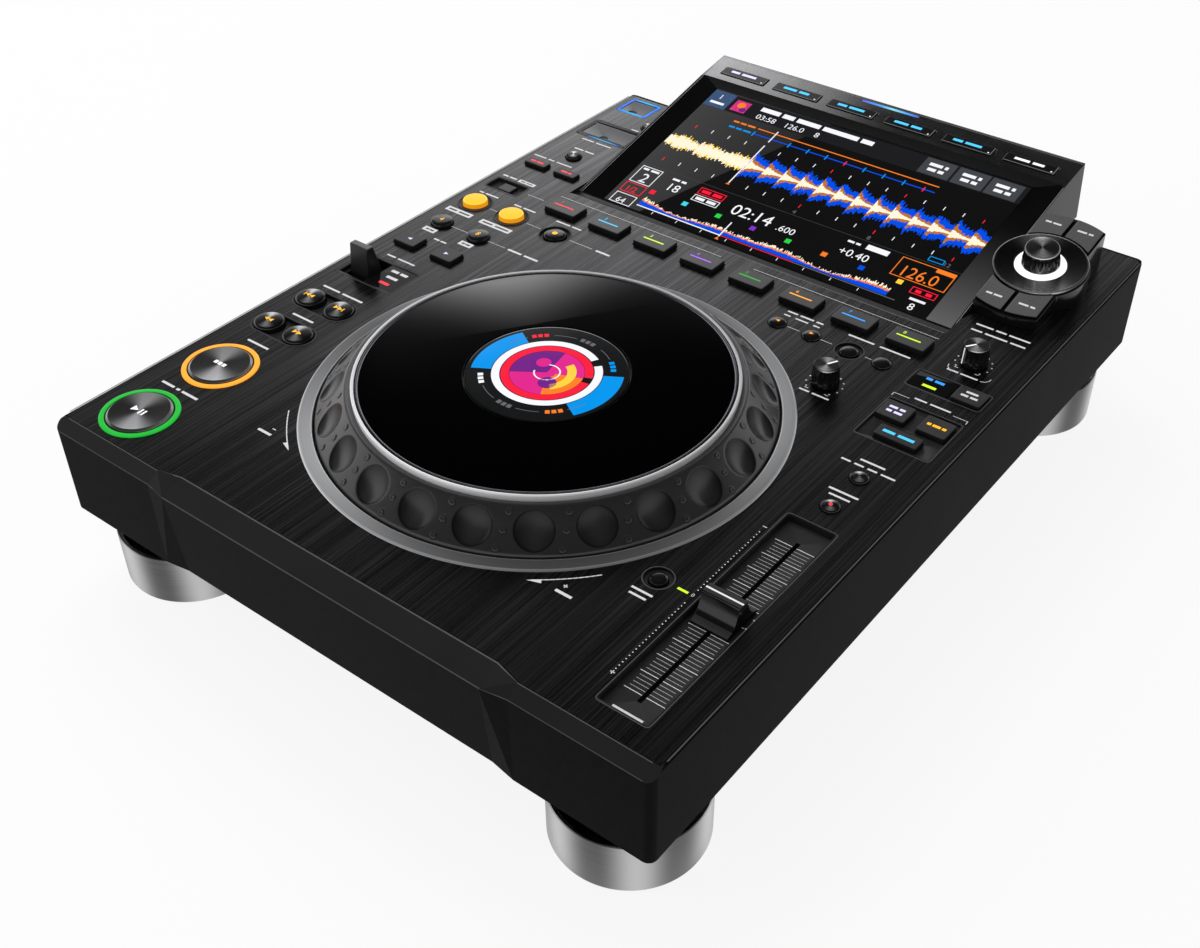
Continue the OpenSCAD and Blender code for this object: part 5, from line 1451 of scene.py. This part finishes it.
def glowAcross(name, x0, x1, stops):
    # a lit bar whose colour changes from left to right
    f = Finish(name)
    share = f.share(f.axis(f.point(), "X"), x0 * mm, x1 * mm)
    cloud = f.noise(f.point(), 300.0, 2.0)
    return f.surface(colour=f.blend(cloud, grey(0.01), grey(0.02)), rough=f.between(cloud, 0.3, 0.42),
                     gloss=0.2, light=f.ramp(share, stops), power=1.0, normal=f.relief(cloud, 0.1, 0.00001))


finishes["pale"] = lit("litPale", (0.68, 0.62, 0.95), 0.9)
# windowSheen: a painted reflection sheen for the small windows
finishes["windowSheen"] = paintMark("windowSheen", (0.035, 0.035, 0.037), 0.1)
finishes["capLine"] = paintMark("capLine", (0.8, 0.81, 0.83), 0.25)
finishes["frameGlow"] = glowAcross("frameGlow", -159, -138, [
    (0.0, (0.0, 0.14, 0.9)), (0.3, (0.0, 0.4, 1.0)), (0.6, (0.01, 0.5, 1.0)), (0.85, (0.0, 0.34, 1.0)),
    (1.0, (0.0, 0.16, 0.95))])
finishes["cardGlow"] = glowAcross("cardGlow", -151, -128, [
    (0.0, (0.01, 0.08, 0.5)), (0.4, (0.03, 0.38, 0.62)), (0.75, (0.02, 0.3, 0.6)), (1.0, (0.0, 0.03, 0.4))])
finishes["stripGlow"] = glowAcross("stripGlow", -18, 18, [
    (0.0, (0.13, 0.12, 0.75)), (0.35, (0.08, 0.42, 0.98)), (0.55, (0.3, 0.8, 1.0)),
    (0.8, (0.06, 0.4, 0.98)), (1.0, (0.1, 0.12, 0.7))])

keyMarks = {   # body: slot, height above the panel, marks
    "beat_jump_keys_body": ("key_black", 2.23, [
        ("pale", "points", [(-148.9, 202.2), (-146.3, 201.1), (-146.3, 203.3)]),
        ("pale", "points", [(-120.4, 202.2), (-123.0, 203.3), (-123.0, 201.1)])]),
    "beat_loop_buttons_body": ("button_black", 2.34, [
        ("amberTop", "digits", ("4", -148.05, 225.6, 3.4)),
        ("amberTop", "digits", ("8", -122.35, 225.6, 3.4))]),
    "reloop_button_body": ("button_black", 1.03, [("amberTop", "dot", (-92.3, 253.7, 1.5))]),
    "mode_keys_body": ("key_grey", 2.03, [
        ("red", "words", (-154.6, -145.8, 308.4, 1.5, (3, 4))),
        ("red", "words", (-132.6, -125.4, 308.4, 1.5, (4, 2)))]),
    "cue_call_buttons_body": ("button_black", 1.52, [
        ("orange", "points", [(45.3, 253.7), (47.5, 252.75), (47.5, 254.65)]),
        ("orange", "points", [(66.7, 253.7), (64.5, 254.65), (64.5, 252.75)])]),
    "jog_mode_key_body": ("key_black", 1.63, [
        ("print", "words", (146.0, 151.8, 255.5, 1.5, (4,))),
        ("print", "words", (144.8, 153.0, 252.3, 1.5, (3, 3)))]),
    "beat_sync_key_body": ("key_black", 1.63, [
        ("pale", "words", (123.8, 131.6, 225.4, 1.6, (3, 2))),
        ("pale", "words", (123.8, 131.6, 222.2, 1.6, (2, 3)))]),
    "master_key_body": ("key_black", 1.63, [("amberTop", "words", (143.2, 152.4, 223.9, 1.7, (2, 4, 2)))]),
    "key_sync_key_body": ("key_black", 1.63, [("cyan", "words", (130.2, 145.4, 208.1, 1.8, (3, 4)))]),
    "master_tempo_button_body": ("button_black", 1.52, [("red", "dot", (138.2, 151.2, 0.9))]),
    "tempo_slider_body": ("button_black", 8.42, [("capLine", "bar", (129.7, 146.7, 73.95, 74.85))])}


def makeKeyMarks():
    for body, (slot, z, marks) in keyMarks.items():
        shape = Shape(marks[0][0])
        for finish, kind, values in marks:
            shape.use(finish)
            if kind == "words":
                x0, x1, y, tall, parts = values
                shape.words(x0, x1, y, tall, z, parts)
            elif kind == "digits":
                figure, x, y, tall = values
                shape.digits(figure, x, y, tall, z, align="CENTER")
            elif kind == "dot":
                shape.dot(*values, z)
            elif kind == "bar":
                shape.bar(*values, z)
            else:
                shape.flat(values, z)
        name = body.replace("_body", "_marks").replace("_", "-")
        put(name, shape, onPanel(0, 0), body, ())


windows = {   # legends: finish, x from, x to, y, height, lengths of the words
    "lever": {"x": -129.6, "back": 169.9, "width": 17.3, "depth": 19.5, "top": -0.06, "sheen": (0.4, 0.8),
              "legends": [("print", -5.4, 5.4, 6.0, 2.0, (3, 3)), ("print", -3.6, 3.6, 0.5, 2.0, (5,)),
                          ("red", -3.2, 3.2, -5.2, 2.0, (5,))]},
    "jogMode": {"x": 130.1, "back": 253.7, "width": 19.9, "depth": 12.5, "top": -0.08, "sheen": (0.3, 0.85),
                "legends": [("blue", -4.4, 4.6, 2.6, 1.8, (2, 3)), ("lime", -3.6, 3.2, -3.0, 1.8, (5,))]}}


def makeWindows():
    # two small glass windows with a painted reflection sheen in one corner and lit legends
    for name, w in windows.items():
        place = onPanel(w["x"], w["back"])
        glass = Shape("windowGlass")
        glass.prism(roundedOutline(w["width"], w["depth"], 0.7), -0.28, w["top"])
        put(name + "Window", glass, place, "chassis", ())
        left = -w["width"] / 2 + 0.3
        top = w["depth"] / 2 - 0.3
        low = w["depth"] * w["sheen"][0]
        high = w["width"] * w["sheen"][1]
        marks = Shape("windowSheen")
        marks.flat([(left, top), (left, top - low), (left + high * 0.5, top - low * 0.5), (left + high, top)],
                   w["top"] + 0.01)
        for finish, x0, x1, y, tall, parts in w["legends"]:
            marks.use(finish).words(x0, x1, y, tall, w["top"] + 0.02, parts)
        put(name + "Legends", marks, place, "chassis", ())


def frameFinish(x, back, z, normal):
    return "frameGlow" if normal.z > 0.9 and z > -0.3 else "bezel"


def makeSmallLights():
    softened("usbFrame", "usb_frame", "chassis", "bezel", 0.1, pick=frameFinish, plain=False)
    bar = Shape("cardGlow")
    bar.prism(roundedOutline(22.9, 1.3, 0.35), -3.1, -0.1)
    put("cardLightBar", bar, onPanel(-139.3, 355.0), "chassis", ())
    strip = Shape("stripGlow")
    strip.prism(roundedOutline(35.9, 1.35, 0.45), -2.4, 0.1)
    put("stripLightBar", strip, onStrip(0, 21.0), "chassis", ())


makeKeyMarks()
makeWindows()
makeSmallLights()
print("legends done")

# ---- screen housing, glass and picture

def housingFinish(x, back, z, normal):
    if back > 418.0 and 0.98 < normal.z < 0.995:
        return "strip"
    if 0.96 < normal.z < 0.98:
        return "housingFace"
    # faces turned to the right get a lighter copy of the finish: painted highlight
    return "housingSide" if normal.x > 0.9 else "housing"


softened("screenHousing", "display_housing", "chassis", "housing", 0.3,
         pick=housingFinish)
softened("screenGlass", "display_screen", "chassis", "glass", 0.1)
# edgeLine: painted highlight lines along the housing's and the screen keys' edges
finishes["edgeLine"] = paintMark("edgeLine", (0.22, 0.22, 0.23), 0.3)


def marginFinish():
    # painted reflection: the gloss face's right margin is painted lighter towards its front end
    f = Finish("marginSheen")
    along = f.axis(f.point((0, frontEdge + housing["faceBack"] * mm, 0)), "Y")
    share = f.share(along, 0.0, 0.085)
    cloud = f.noise(f.point(), 40.0, 3.0)
    return f.surface(colour=grey(0.004), rough=f.between(cloud, 0.08, 0.14), gloss=0.1, power=1.0,
                     light=f.blend((1.0 - share) ** 2.0, grey(0.0), grey(0.12)),
                     normal=f.relief(cloud, 0.02, 0.00001))


finishes["marginSheen"] = marginFinish()


def makeHousingLines():
    # painted highlight lines along the moulding's edges, and a painted reflection on the face's right margin
    face = Shape("edgeLine")
    for x in (-114.7, -113.4, 114.4):
        face.bar(x, x + 0.3, 0.5, 118.8, 0.03)
    face.use("marginSheen").bar(100.4, 113.9, 1.0, 90.0, 0.02)
    put("housingFaceLines", face, onFace(0, 0), "chassis", ())
    strip = Shape("edgeLine")
    strip.bar(-114.7, -114.4, 0.4, 24.0, 0.03)
    strip.bar(-114.4, 114.4, 23.6, 23.95, 0.03)
    strip.bar(-114.4, 114.4, 22.5, 22.7, 0.03)
    put("housingStripLines", strip, onStrip(0, 0), "chassis", ())
    ledge = Shape("edgeLine")
    ledge.bar(-114.5, 114.5, 294.45, 294.85, -0.37)
    put("housingLedgeLine", ledge, onPanel(0, 0), "chassis", ())


def makeScreenKeyMarks():
    for body, first in (("screen_keys_left", 0), ("screen_keys_right", 3)):
        shape = Shape("edgeLine")
        for i in range(first, first + 3):
            x = (i - 2.5) * 36.3
            # painted highlight lines along each key's lower and right edges, and a painted glint dot
            shape.use("edgeLine").bar(x - 14.4, x + 14.4, 7.0, 7.3, 0.53)
            shape.bar(x + 14.1, x + 14.4, 7.3, 13.6, 0.53)
            shape.use("printBright").dot(x + 12.6, 8.4, 0.5, 0.54, 12)
            shape.use("pale" if i == 0 else "printBright" if i == 5 else "cyan")
            shape.words(x - 9.5, x + 7.5, 10.9, 2.0, 0.54, (4, 3) if i % 2 else (3, 5))
        put(body.replace("_", "-") + "-marks", shape, onStrip(0, 0), body + "_body", ())


makeHousingLines()
makeScreenKeyMarks()

screenPicture = {"perMm": 8.0, "width": 1594, "height": 897, "level": 0.03, "seed": 11,
                 "wave": {"middle": 410, "step": 5, "loudFrom": 432, "beatFrom": 435, "beat": 90.5},
                 "overview": {"foot": 852, "step": 4, "from": 158, "to": 1388}}


def px(x):
    return x / screenPicture["perMm"] - housing["glassWidth"] / 2


def py(y):
    return (screenPicture["height"] - y) / screenPicture["perMm"]


def makeScreenPicture():
    # a made-up player's screen, in pixels from its upper left corner
    pic = Shape("artBlack")

    def box(colour, x0, x1, y0, y1, lift=0.01):
        pic.use(colour).bar(px(x0), px(x1), py(y1), py(y0), lift)

    def edge(colour, x0, x1, y0, y1):
        pic.use(colour).frame(px(x0), px(x1), py(y1), py(y0), 0.5, 0.012)

    def figures(colour, signs, x0, y1, tall, stretch=1.0):
        pic.use(colour).digits(signs, px(x0), py(y1), tall / screenPicture["perMm"], 0.02, stretch=stretch)

    def words(colour, x0, x1, y, tall, parts):
        pic.use(colour).words(px(x0), px(x1), py(y), tall, 0.02, parts)

    def arrow(x, foot, tip):
        pic.use("artOrange").flat([(px(x - 10), py(foot)), (px(x + 10), py(foot)), (px(x), py(tip))], 0.03)

    # a painted reflection sheen on the glass, towards its left end
    wide = screenPicture["width"]
    foot = screenPicture["height"]
    pic.use("artSheen").flat([(px(x), py(y)) for x, y in ((0, foot), (190, foot), (622, 0), (0, 0))], 0.004)
    # upper bar: number, title, time, tempo, tabs
    box("artBar", 0, wide, 8, 125)
    box("artSteel", 0, 118, 8, 125)
    figures("artWhite", "1", 42, 62, 34)
    box("artWhite", 22, 96, 84, 100, 0.02)
    box("artPink", 138, 215, 30, 108)
    pic.use("artOrange").dot(px(176), py(60), 2.6, 0.02, 24)
    pic.use("artPurple").dot(px(196), py(88), 2.0, 0.03, 24)
    words("artWhite", 275, 860, 42, 3.6, (5, 3, 6, 9, 3))
    figures("artWhite", "03:58", 280, 112, 34)
    figures("artWhite", "126.0", 430, 112, 34)
    figures("artWhite", "8", 590, 112, 34)
    for x0 in (1115, 1272, 1427):
        box("artTab", x0, x0 + 145, 12, 120, 0.015)
        words("artWhite", x0 + 28, x0 + 116, 50, 2.4, (4, 1))
        words("artWhite", x0 + 34, x0 + 110, 84, 2.4, (3, 2))
    # the two phase lines
    box("artOrange", 340, 1255, 169, 175)
    box("artDeep", 340, 1255, 209, 215)
    for y, colour in ((172, "artOrange"), (212, "artBlue")):
        words(colour, 208, 325, y, 1.4, (3, 3, 4))
    for x in (340, 530, 627, 722, 818, 914, 1010, 1107, 1203):
        box("artRed" if x in (818, 1203) else "artBlue", x - 3, x + 3, 196, 228, 0.02)
    box("artWhite", 432, 438, 152, 235, 0.03)
    # beat marks over and under the wave
    for x in (75, 165, 255, 345, 525, 615, 706, 795, 886, 977, 1067, 1158, 1248, 1340, 1430, 1521):
        colour = "artRed" if x in (75, 795, 1158, 1521) else "artWhite"
        box(colour, x - 2, x + 2, 272, 295, 0.02)
        box(colour, x - 2, x + 2, 532, 555, 0.02)
    for signs, x in (("4", 786), ("8", 1148), ("12", 1500)):
        figures("artMid", signs, x, 596, 24)
    chance = random.Random(screenPicture["seed"])
    wave = screenPicture["wave"]
    step = wave["step"]
    mid = wave["middle"]
    for x in range(4, wide - 4, step):
        if x < wave["loudFrom"]:   # quiet body, then loud beats
            tall = 16 + 20 * abs(math.sin(x * 0.021)) + chance.uniform(-8, 18) * (chance.random() < 0.6)
            colour = "artYellow" if chance.random() < 0.45 else "artCream"
            box(colour, x, x + step, mid - tall - 8, mid + tall + 8)
            box("artCream", x, x + step, mid - tall + 6, mid + tall - 6, 0.015)
        else:
            beat = ((x - wave["beatFrom"]) % wave["beat"]) / wave["beat"]
            fade = math.exp(-2.6 * beat)
            tall = 52 + 42 * fade + chance.uniform(-16, 12)
            box("artDeep", x, x + step, mid - tall, mid + tall)
            body = tall * (0.3 + 0.45 * fade) + chance.uniform(-6, 6)
            box("artBrown", x, x + step, mid - body, mid + body, 0.015)
            core = 40 * fade * chance.uniform(0.6, 1.1) + 3
            box("artCream", x, x + step, mid - core, mid + core, 0.02)
    box("artWhite", 431, 437, 262, 550, 0.03)
    arrow(434, 562, 545)
    edge("artBlue", 1432, 1502, 565, 593)
    # the left column's boxes, the clock, the tempo
    box("artTab", 0, wide, 604, 606)
    edge("artWhite", 22, 133, 620, 735)
    figures("artWhite", "2", 58, 724, 62)
    words("artWhite", 36, 120, 638, 1.6, (2, 3))
    edge("artRed", 22, 133, 742, 808)
    figures("artRed", "1/2", 40, 798, 34)
    edge("artWhite", 22, 133, 818, 886)
    figures("artWhite", "64", 48, 878, 34)
    figures("artWhite", "18", 200, 715, 50)
    words("artWhite", 198, 270, 640, 1.6, (3, 2))
    edge("artRed", 347, 480, 628, 672)
    words("artRed", 362, 465, 650, 2.4, (3, 3))
    edge("artWhite", 347, 480, 680, 720)
    words("artWhite", 362, 465, 700, 2.2, (3, 3))
    figures("artWhite", "02:14", 545, 718, 68, 0.98)
    figures("artWhite", ".600", 780, 718, 38)
    figures("artWhite", "+0.40", 1085, 722, 44)
    words("artWhite", 1090, 1150, 638, 1.5, (3, 2))
    box("artWhite", 1178, 1280, 620, 650)
    edge("artOrange", 1338, 1583, 618, 733)
    box("artOrange", 1497, 1580, 620, 642, 0.02)
    figures("artOrange", "126.0", 1362, 722, 66, 0.86)
    edge("artRed", 1460, 1572, 753, 792)
    words("artRed", 1480, 1552, 773, 2.2, (1, 1))
    words("artWhite", 1480, 1550, 820, 1.6, (3,))
    figures("artWhite", "8", 1496, 880, 40)
    # cue points and the whole track's outline
    cues = ("artRed", "artCyan", "artGreen", "artViolet", "artGreen", "artOrange", "artDeep", "artYellow")
    for x, colour in zip((156, 330, 506, 682, 858, 1034, 1210, 1387), cues):
        box(colour, x, x + 26, 743, 769, 0.02)
    overview = screenPicture["overview"]
    low = overview["foot"]
    step = overview["step"]
    for x in range(overview["from"], overview["to"], step):
        swell = 0.5 + 0.5 * math.sin(x * 0.013) * math.sin(x * 0.0031 + 1.0)
        tall = 12 + 34 * swell + chance.uniform(-4, 6)
        box("artDeep", x, x + step, low - tall * 0.6, low)
        box("artOrange", x, x + step, low - tall * 0.82, low - tall * 0.6)
        if chance.random() < 0.7:
            box("artCream", x, x + step, low - tall * (1.0 + 0.25 * chance.random()), low - tall * 0.82)
    box("artWhite", 156, 595, 854, 860, 0.02)
    box("artRed", 595, 960, 856, 860, 0.02)
    box("artMid", 960, 1435, 856, 860, 0.02)
    for i in range(9):
        box("artWhite", 250 + i * 128, 253 + i * 128, 864, 880, 0.02)
    box("artWhite", 592, 598, 765, 865, 0.03)
    arrow(595, 885, 867)
    place = onFace(0, housing["glassLift"], screenPicture["level"] - housing["glassSink"])
    put("screenPicture", pic, place, "chassis", ())


makeScreenPicture()
print("screen done")

# ---- selector pod

# painted highlight wedges on the pod's knob rim
finishes["knobRim"] = spun("knobRim", podCentre, (0.7, 0.7, 0.71), 0.2, 1600.0, 0.3, [(113.0, 0.7, 2.0, 2)],
                           tilt=10.0, metal=0.8)


def makePod():
    ring = Shape("podRing")
    ring.lathe([(12.85, -1.5), (23.25, -1.5), (23.25, -0.55), (23.1, -0.3)], 128)
    ring.lathe([
        (22.2, -0.05), (22.0, -0.12), (13.3, -0.68), (13.0, -0.78), (12.85, -1.0), (12.85, -1.5)], 128)
    ring.use("knobRim").lathe([(23.1, -0.3), (22.8, -0.08), (22.4, 0.0), (22.2, -0.05)], 128)
    put("podSpunRing", ring, onPod(), "chassis", ["trim_rings"])
    glow = Shape("white")
    glow.lathe([(3.35, -1.6), (12.65, -1.6), (12.65, -1.2), (12.55, -1.1), (3.35, -1.1), (3.35, -1.6)], 96)
    put("selectorGlow", glow, onPod(), "chassis", ["light_guides"])


selector = {
    "flutes": 16, "foot": 9.7, "waist": 8.75, "cap": 8.6, "capUp": 8.6, "top": 9.6, "flute": 0.85,
    # height, depth of the flutes, share of each flute above it that keeps the painted highlight
    "levels": [(0.0, 0.0, 1.0), (0.3, 0.0, 1.0), (1.6, 0.1, 0.6), (2.6, 0.3, 0.05), (3.6, 0.55, -0.5),
               (4.6, 0.8, -0.9), (6.0, 1.0, -2.0), (8.0, 1.0, -2.0), (8.3, 0.75, -2.0), (8.6, 0.0, -2.0)]}


def makeSelectorKnob():
    # a turned cap on a fluted body; the ridges between the flutes carry a painted highlight that runs out to
    # points above a bright foot
    flutes = selector["flutes"]
    foot = selector["foot"]
    cap = selector["cap"]
    capUp = selector["capUp"]
    top = selector["top"]
    count = flutes * 12
    shape = Shape("knobSkirt")
    rows = []
    for up, flute, bright in selector["levels"]:
        reach = foot + (selector["waist"] - foot) * min(1.0, up / capUp * 1.6)
        row = []
        for i in range(count):
            a = 2 * math.pi * i / count
            hollow = max(0.0, math.cos(flutes * a) + 0.5) / 1.5
            r = reach - (0.3 if up == 0.0 else 0.0) - hollow ** 0.8 * flute * selector["flute"]
            row.append(shape.bm.verts.new((*polar(r, a), up)))
        rows.append(row)
    for low, high, (up, flute, bright) in zip(rows, rows[1:], selector["levels"]):
        for i in range(count):
            j = (i + 1) % count
            wave = math.cos(flutes * 2 * math.pi * (i + 0.5) / count)
            shape.use("knobSkirt" if wave <= bright else "keyGloss")
            shape.face([low[i], low[j], high[j], high[i]])
    shape.use("knobRim").lathe([(cap - 0.3, capUp - 0.35), (cap + 0.05, capUp - 0.1), (cap, capUp + 0.2),
                                (cap - 0.5, top - 0.1), (cap - 0.8, top)], 96)
    shape.use("knobTop").lathe([(cap - 0.8, top), (0.5, top - 0.04), (0, top - 0.06)], 96)
    shape.use("knobSkirt").lathe([(3.05, 1.3), (3.05, 0.0), (foot - 0.3, 0.0)], 96)
    put("selectorTurnKnob", shape, onPod(), "selector_knob_body", ["selector_knob"],
        angle=40)


def makePodKeyMarks():
    for name, way in (("selector_keys_rear", 1), ("selector_keys_front", -1)):
        shape = Shape("print")
        for x, parts in ((-8.6, (3, 4)), (8.6, (4, 2))):
            shape.words(x - 4.2, x + 4.2, way * 31.8, 1.3, -0.37, parts)
        label = name.replace("_", "-") + "-marks"
        put(label, shape, onPod(), name + "_body", ())


makePod()
makeSelectorKnob()
makePodKeyMarks()

# ---- the two small knobs

smallKnob = {"foot": 6.68, "head": 6.0, "height": 10.8, "flutes": 18, "flute": 0.3, "low": 0.5}


def makeSmallKnob(name, node, x, back, pointer):
    # painted highlight wedges on the knob's turned top
    finishes[name + "Top"] = spun(name + "Top", centreOf(x, back), (0.66, 0.66, 0.67), 0.26, 2600.0, 0.04,
                                  [(110.0, 1.0, 3.4, 2)], metal=0.8)
    shape = Shape("keyGloss")
    count = smallKnob["flutes"] * 10
    foot = smallKnob["foot"]
    head = smallKnob["head"]
    h = smallKnob["height"]
    low = smallKnob["low"]
    rows = []
    for share, flute in ((0.0, 0.5), (0.04, 1.0), (0.4, 1.0), (0.78, 1.0), (0.88, 0.5), (0.93, 0.0)):
        radius = foot + (head - foot) * share - (0.2 if share == 0.0 else 0.0)
        row = []
        for a in (2 * math.pi * i / count for i in range(count)):
            cut = flute * smallKnob["flute"] * abs(math.cos(smallKnob["flutes"] / 2 * a)) ** 0.7
            row.append((*polar(radius - cut, a), low + (h - low) * share))
        rows.append(row)
    shape.rings(rows, capHigh=False)
    shape.lathe([(3.0, -10.3), (3.0, low)], 32)
    shape.use(name + "Top").lathe([(head + 0.04, low + (h - low) * 0.93), (head - 0.12, h - 0.25),
                                   (head - 0.5, h - 0.02), (0, h - 0.02)], count)
    put(node.replace("_", "-"), shape, onPanel(x, back), node + "_body", [node], angle=30)
    a = math.radians(pointer)
    mark = Shape("printBright")
    mark.stroke([polar(0.8, a), polar(head - 0.7, a)], 0.9, h)

    def beside(share, way):
        # a point on the knob's side, to the left or right of the pointer's middle
        across, along = polar(foot + (head - foot) * share + 0.03, a)
        return across - way * math.sin(a) * 0.42, along + way * math.cos(a) * 0.42, low + (h - low) * share

    for upper, lower in ((0.93, 0.5), (0.5, 0.1)):
        mark.flat([beside(upper, -1), beside(lower, -1), beside(lower, 1), beside(upper, 1)])
    put(name + "Pointer", mark, onPanel(x, back), node + "_body", ())


makeSmallKnob("adjust", "jog_adjust_knob", 91.0, 224.2, 62.0)
makeSmallKnob("vinyl", "vinyl_speed_knob", 137.5, 279.6, 235.0)
print("selector and knobs done")
